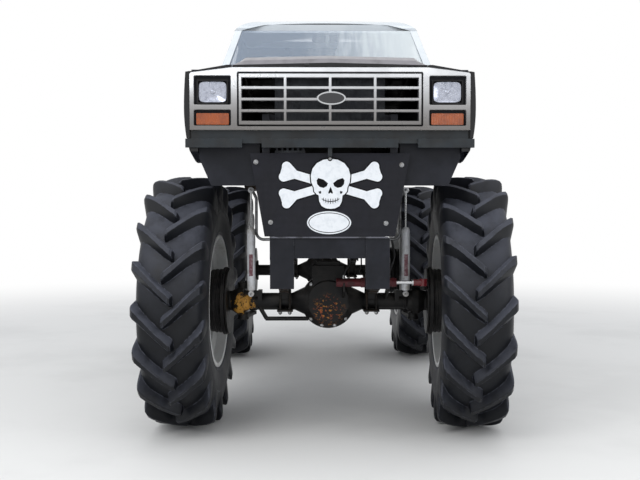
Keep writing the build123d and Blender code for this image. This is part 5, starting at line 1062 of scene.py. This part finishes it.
def stuffed(half_wide, half_long, half_thick, pitch):
    """A bench cushion about its own middle: crowned, rounded to a seam, with sewn channels on top."""
    columns, rows = 120, 24
    points, grids = [], ({}, {})
    for side, grid in enumerate(grids):
        for j in range(rows + 1):
            for i in range(columns + 1):
                if side and (i in (0, columns) or j in (0, rows)):
                    grid[i, j] = grids[0][i, j]
                    continue
                v = math.sin(math.pi * (j / rows - 0.5))
                u = 2 * i / columns - 1
                u *= 1.5 - 0.5 * u * u
                full = max(0.0, (1 - abs(u) ** 12) * (1 - abs(v) ** 6)) ** 0.4
                x = u * half_wide * (1 - 0.012 * (1 - v * v))
                y = v * half_long * (1 - 0.03 * (1 - u * u))
                off = pitch * ((x / pitch) % 1.0 - 0.5)
                sewn = 0.012 * math.exp(-((off / 0.010) ** 2)) * full**2
                crown = 0.86 + 0.14 * (1 - u * u) * (1 - v * v)
                above = half_thick * full * crown - sewn
                grid[i, j] = len(points)
                points.append(Vector((x, y, -half_thick * full * 0.98 if side else above)))
    faces = []
    for grid, order in zip(grids, (1, -1)):
        for j in range(rows):
            for i in range(columns):
                faces.append((grid[i, j], grid[i + 1, j], grid[i + 1, j + 1], grid[i, j + 1])[::order])
    return Shape().join(points, faces)


# half the seat's width, and how far apart its sewn channels run
SEAT_HALF, CHANNEL_PITCH = 0.655, 0.109
CUSHION = Matrix.Translation((0, -0.3300, 2.270))
BACKREST = Matrix.Translation((0, -0.0040, 2.585)) @ Matrix.Rotation(math.radians(79.4), 4, "X")
for name, place, half_long, half_thick in (
    ("seat_cushion", CUSHION, 0.222, 0.068),
    ("seat_back", BACKREST, 0.268, 0.056),
):
    shape = stuffed(SEAT_HALF, half_long, half_thick, CHANNEL_PITCH).moved(place)
    pad = shape.made(name, finishes["seat_vinyl"], "chassis", ("bench_seat",), 60, "seat_vinyl")
base_outline = rounded_square(0.640, 0.255, 64, 14)
seat_base = Shape().sheet(base_outline, (0, -0.2715, 2.001), LEFT, REAR, 0.199, 0.004)
seat_base.made("seat_base", finishes["liner_paint"], "chassis", ("bench_seat",), slot="liner_paint")


# ---------------------------------------------------------------- floor, light and camera

FLOOR_REACH, FLOOR_Z = 40, -0.0005
# the floor's own look ends and the white begins between these distances
FLOOR_FADE = (4.5, 13.0)
floor_mesh = bpy.data.meshes.new("floor")
corners = [(x, y, FLOOR_Z) for x, y in rectangle(FLOOR_REACH, FLOOR_REACH)]
floor_mesh.from_pydata(corners, [], [(0, 1, 2, 3)])


def studio_floor():
    """Pale matt studio floor that runs out into the white background."""
    material = finish(
        "floor", "#dcdcda", 0.8, patch="#d6d6d4", patch_size=2.0, grain=0.01, grain_height=0.0001,
    )
    tree = material.node_tree
    place = add(tree, "TexCoord", {}, {}, "Object")
    away = add(tree, "VectorMath", {"operation": "LENGTH"}, {0: place}, "Value")
    faded = add(tree, "MapRange", SMOOTH, {0: away, 1: FLOOR_FADE[0], 2: FLOOR_FADE[1]})
    white = add(tree, "Emission", {}, {"Color": WHITE, "Strength": 1.0})
    matt = tree.nodes["Principled BSDF"].outputs[0]
    joined = add(tree, "MixShader", {}, {0: faded, 1: matt, 2: white})
    plug(tree, tree.nodes["Material Output"], {"Surface": joined})
    return material


floor_mesh.materials.append(studio_floor())
floor_piece = bpy.data.objects.new("floor", floor_mesh)
bpy.context.scene.collection.objects.link(floor_piece)

# an overcast sky lights the truck; seen straight, in a reflection or through glass it is plain white
world = bpy.data.worlds.new("sky")
bpy.context.scene.world = world
world.use_nodes = True
sky = world.node_tree
steepness = add(sky, "SeparateXYZ", {}, {0: add(sky, "TexCoord", {}, {}, "Generated")}, 2)
zenith = add(sky, "MapRange", SMOOTH, {0: steepness, 2: 0.7})
overcast = add(sky, "Mix", COLOURS, {0: zenith, 6: linear("#b4b8c1"), 7: linear("#f4f6fa")}, 2)
paths = add(sky, "LightPath", {}, {}).node.outputs
shown = paths["Is Camera Ray"]
for path in ("Is Glossy Ray", "Is Transmission Ray"):
    shown = add(sky, "Math", {"operation": "MAXIMUM"}, {0: shown, 1: paths[path]})
seen = add(sky, "Mix", COLOURS, {0: shown, 6: overcast, 7: WHITE}, 2)
plug(sky, sky.nodes["Background"], {"Color": seen, "Strength": 1.0})


def soft_box(name, place, target, size, power):
    """A rectangular lamp with a diffuser, aimed at a place; its size in metres, its power in watts."""
    lamp = bpy.data.lights.new(name, "AREA")
    lamp.shape = "RECTANGLE"
    lamp.size, lamp.size_y = size
    lamp.energy = power
    fixture = bpy.data.objects.new(name, lamp)
    fixture.location = place
    fixture.rotation_euler = (Vector(target) - Vector(place)).to_track_quat("-Z", "Y").to_euler()
    bpy.context.scene.collection.objects.link(fixture)
    return fixture


key = soft_box("key", (-4.5, -8.5, 7.0), (0, -2, 1.2), (5, 4), 300)
fill = soft_box("fill", (6.0, -7.0, 4.0), (0, -2, 1.2), (4, 4), 110)
overhead = soft_box("overhead", (0.0, -3.0, 8.0), (0, -3, 0), (7, 9), 180)

# where the photograph was taken from, and how far the camera was dipped and turned, in degrees
CAMERA_PLACE, CAMERA_DIP, CAMERA_TURN = (-0.129, -8.7745, 1.668), 2.1, -0.55
lens = bpy.data.cameras.new("camera")
lens.sensor_width = 36.0
lens.lens = 51.5
camera = bpy.data.objects.new("camera", lens)
camera.location = CAMERA_PLACE
camera.rotation_euler = (math.radians(90 - CAMERA_DIP), 0, math.radians(CAMERA_TURN))
bpy.context.scene.collection.objects.link(camera)
bpy.context.scene.camera = camera
bpy.context.scene.view_settings.view_transform = "Standard"
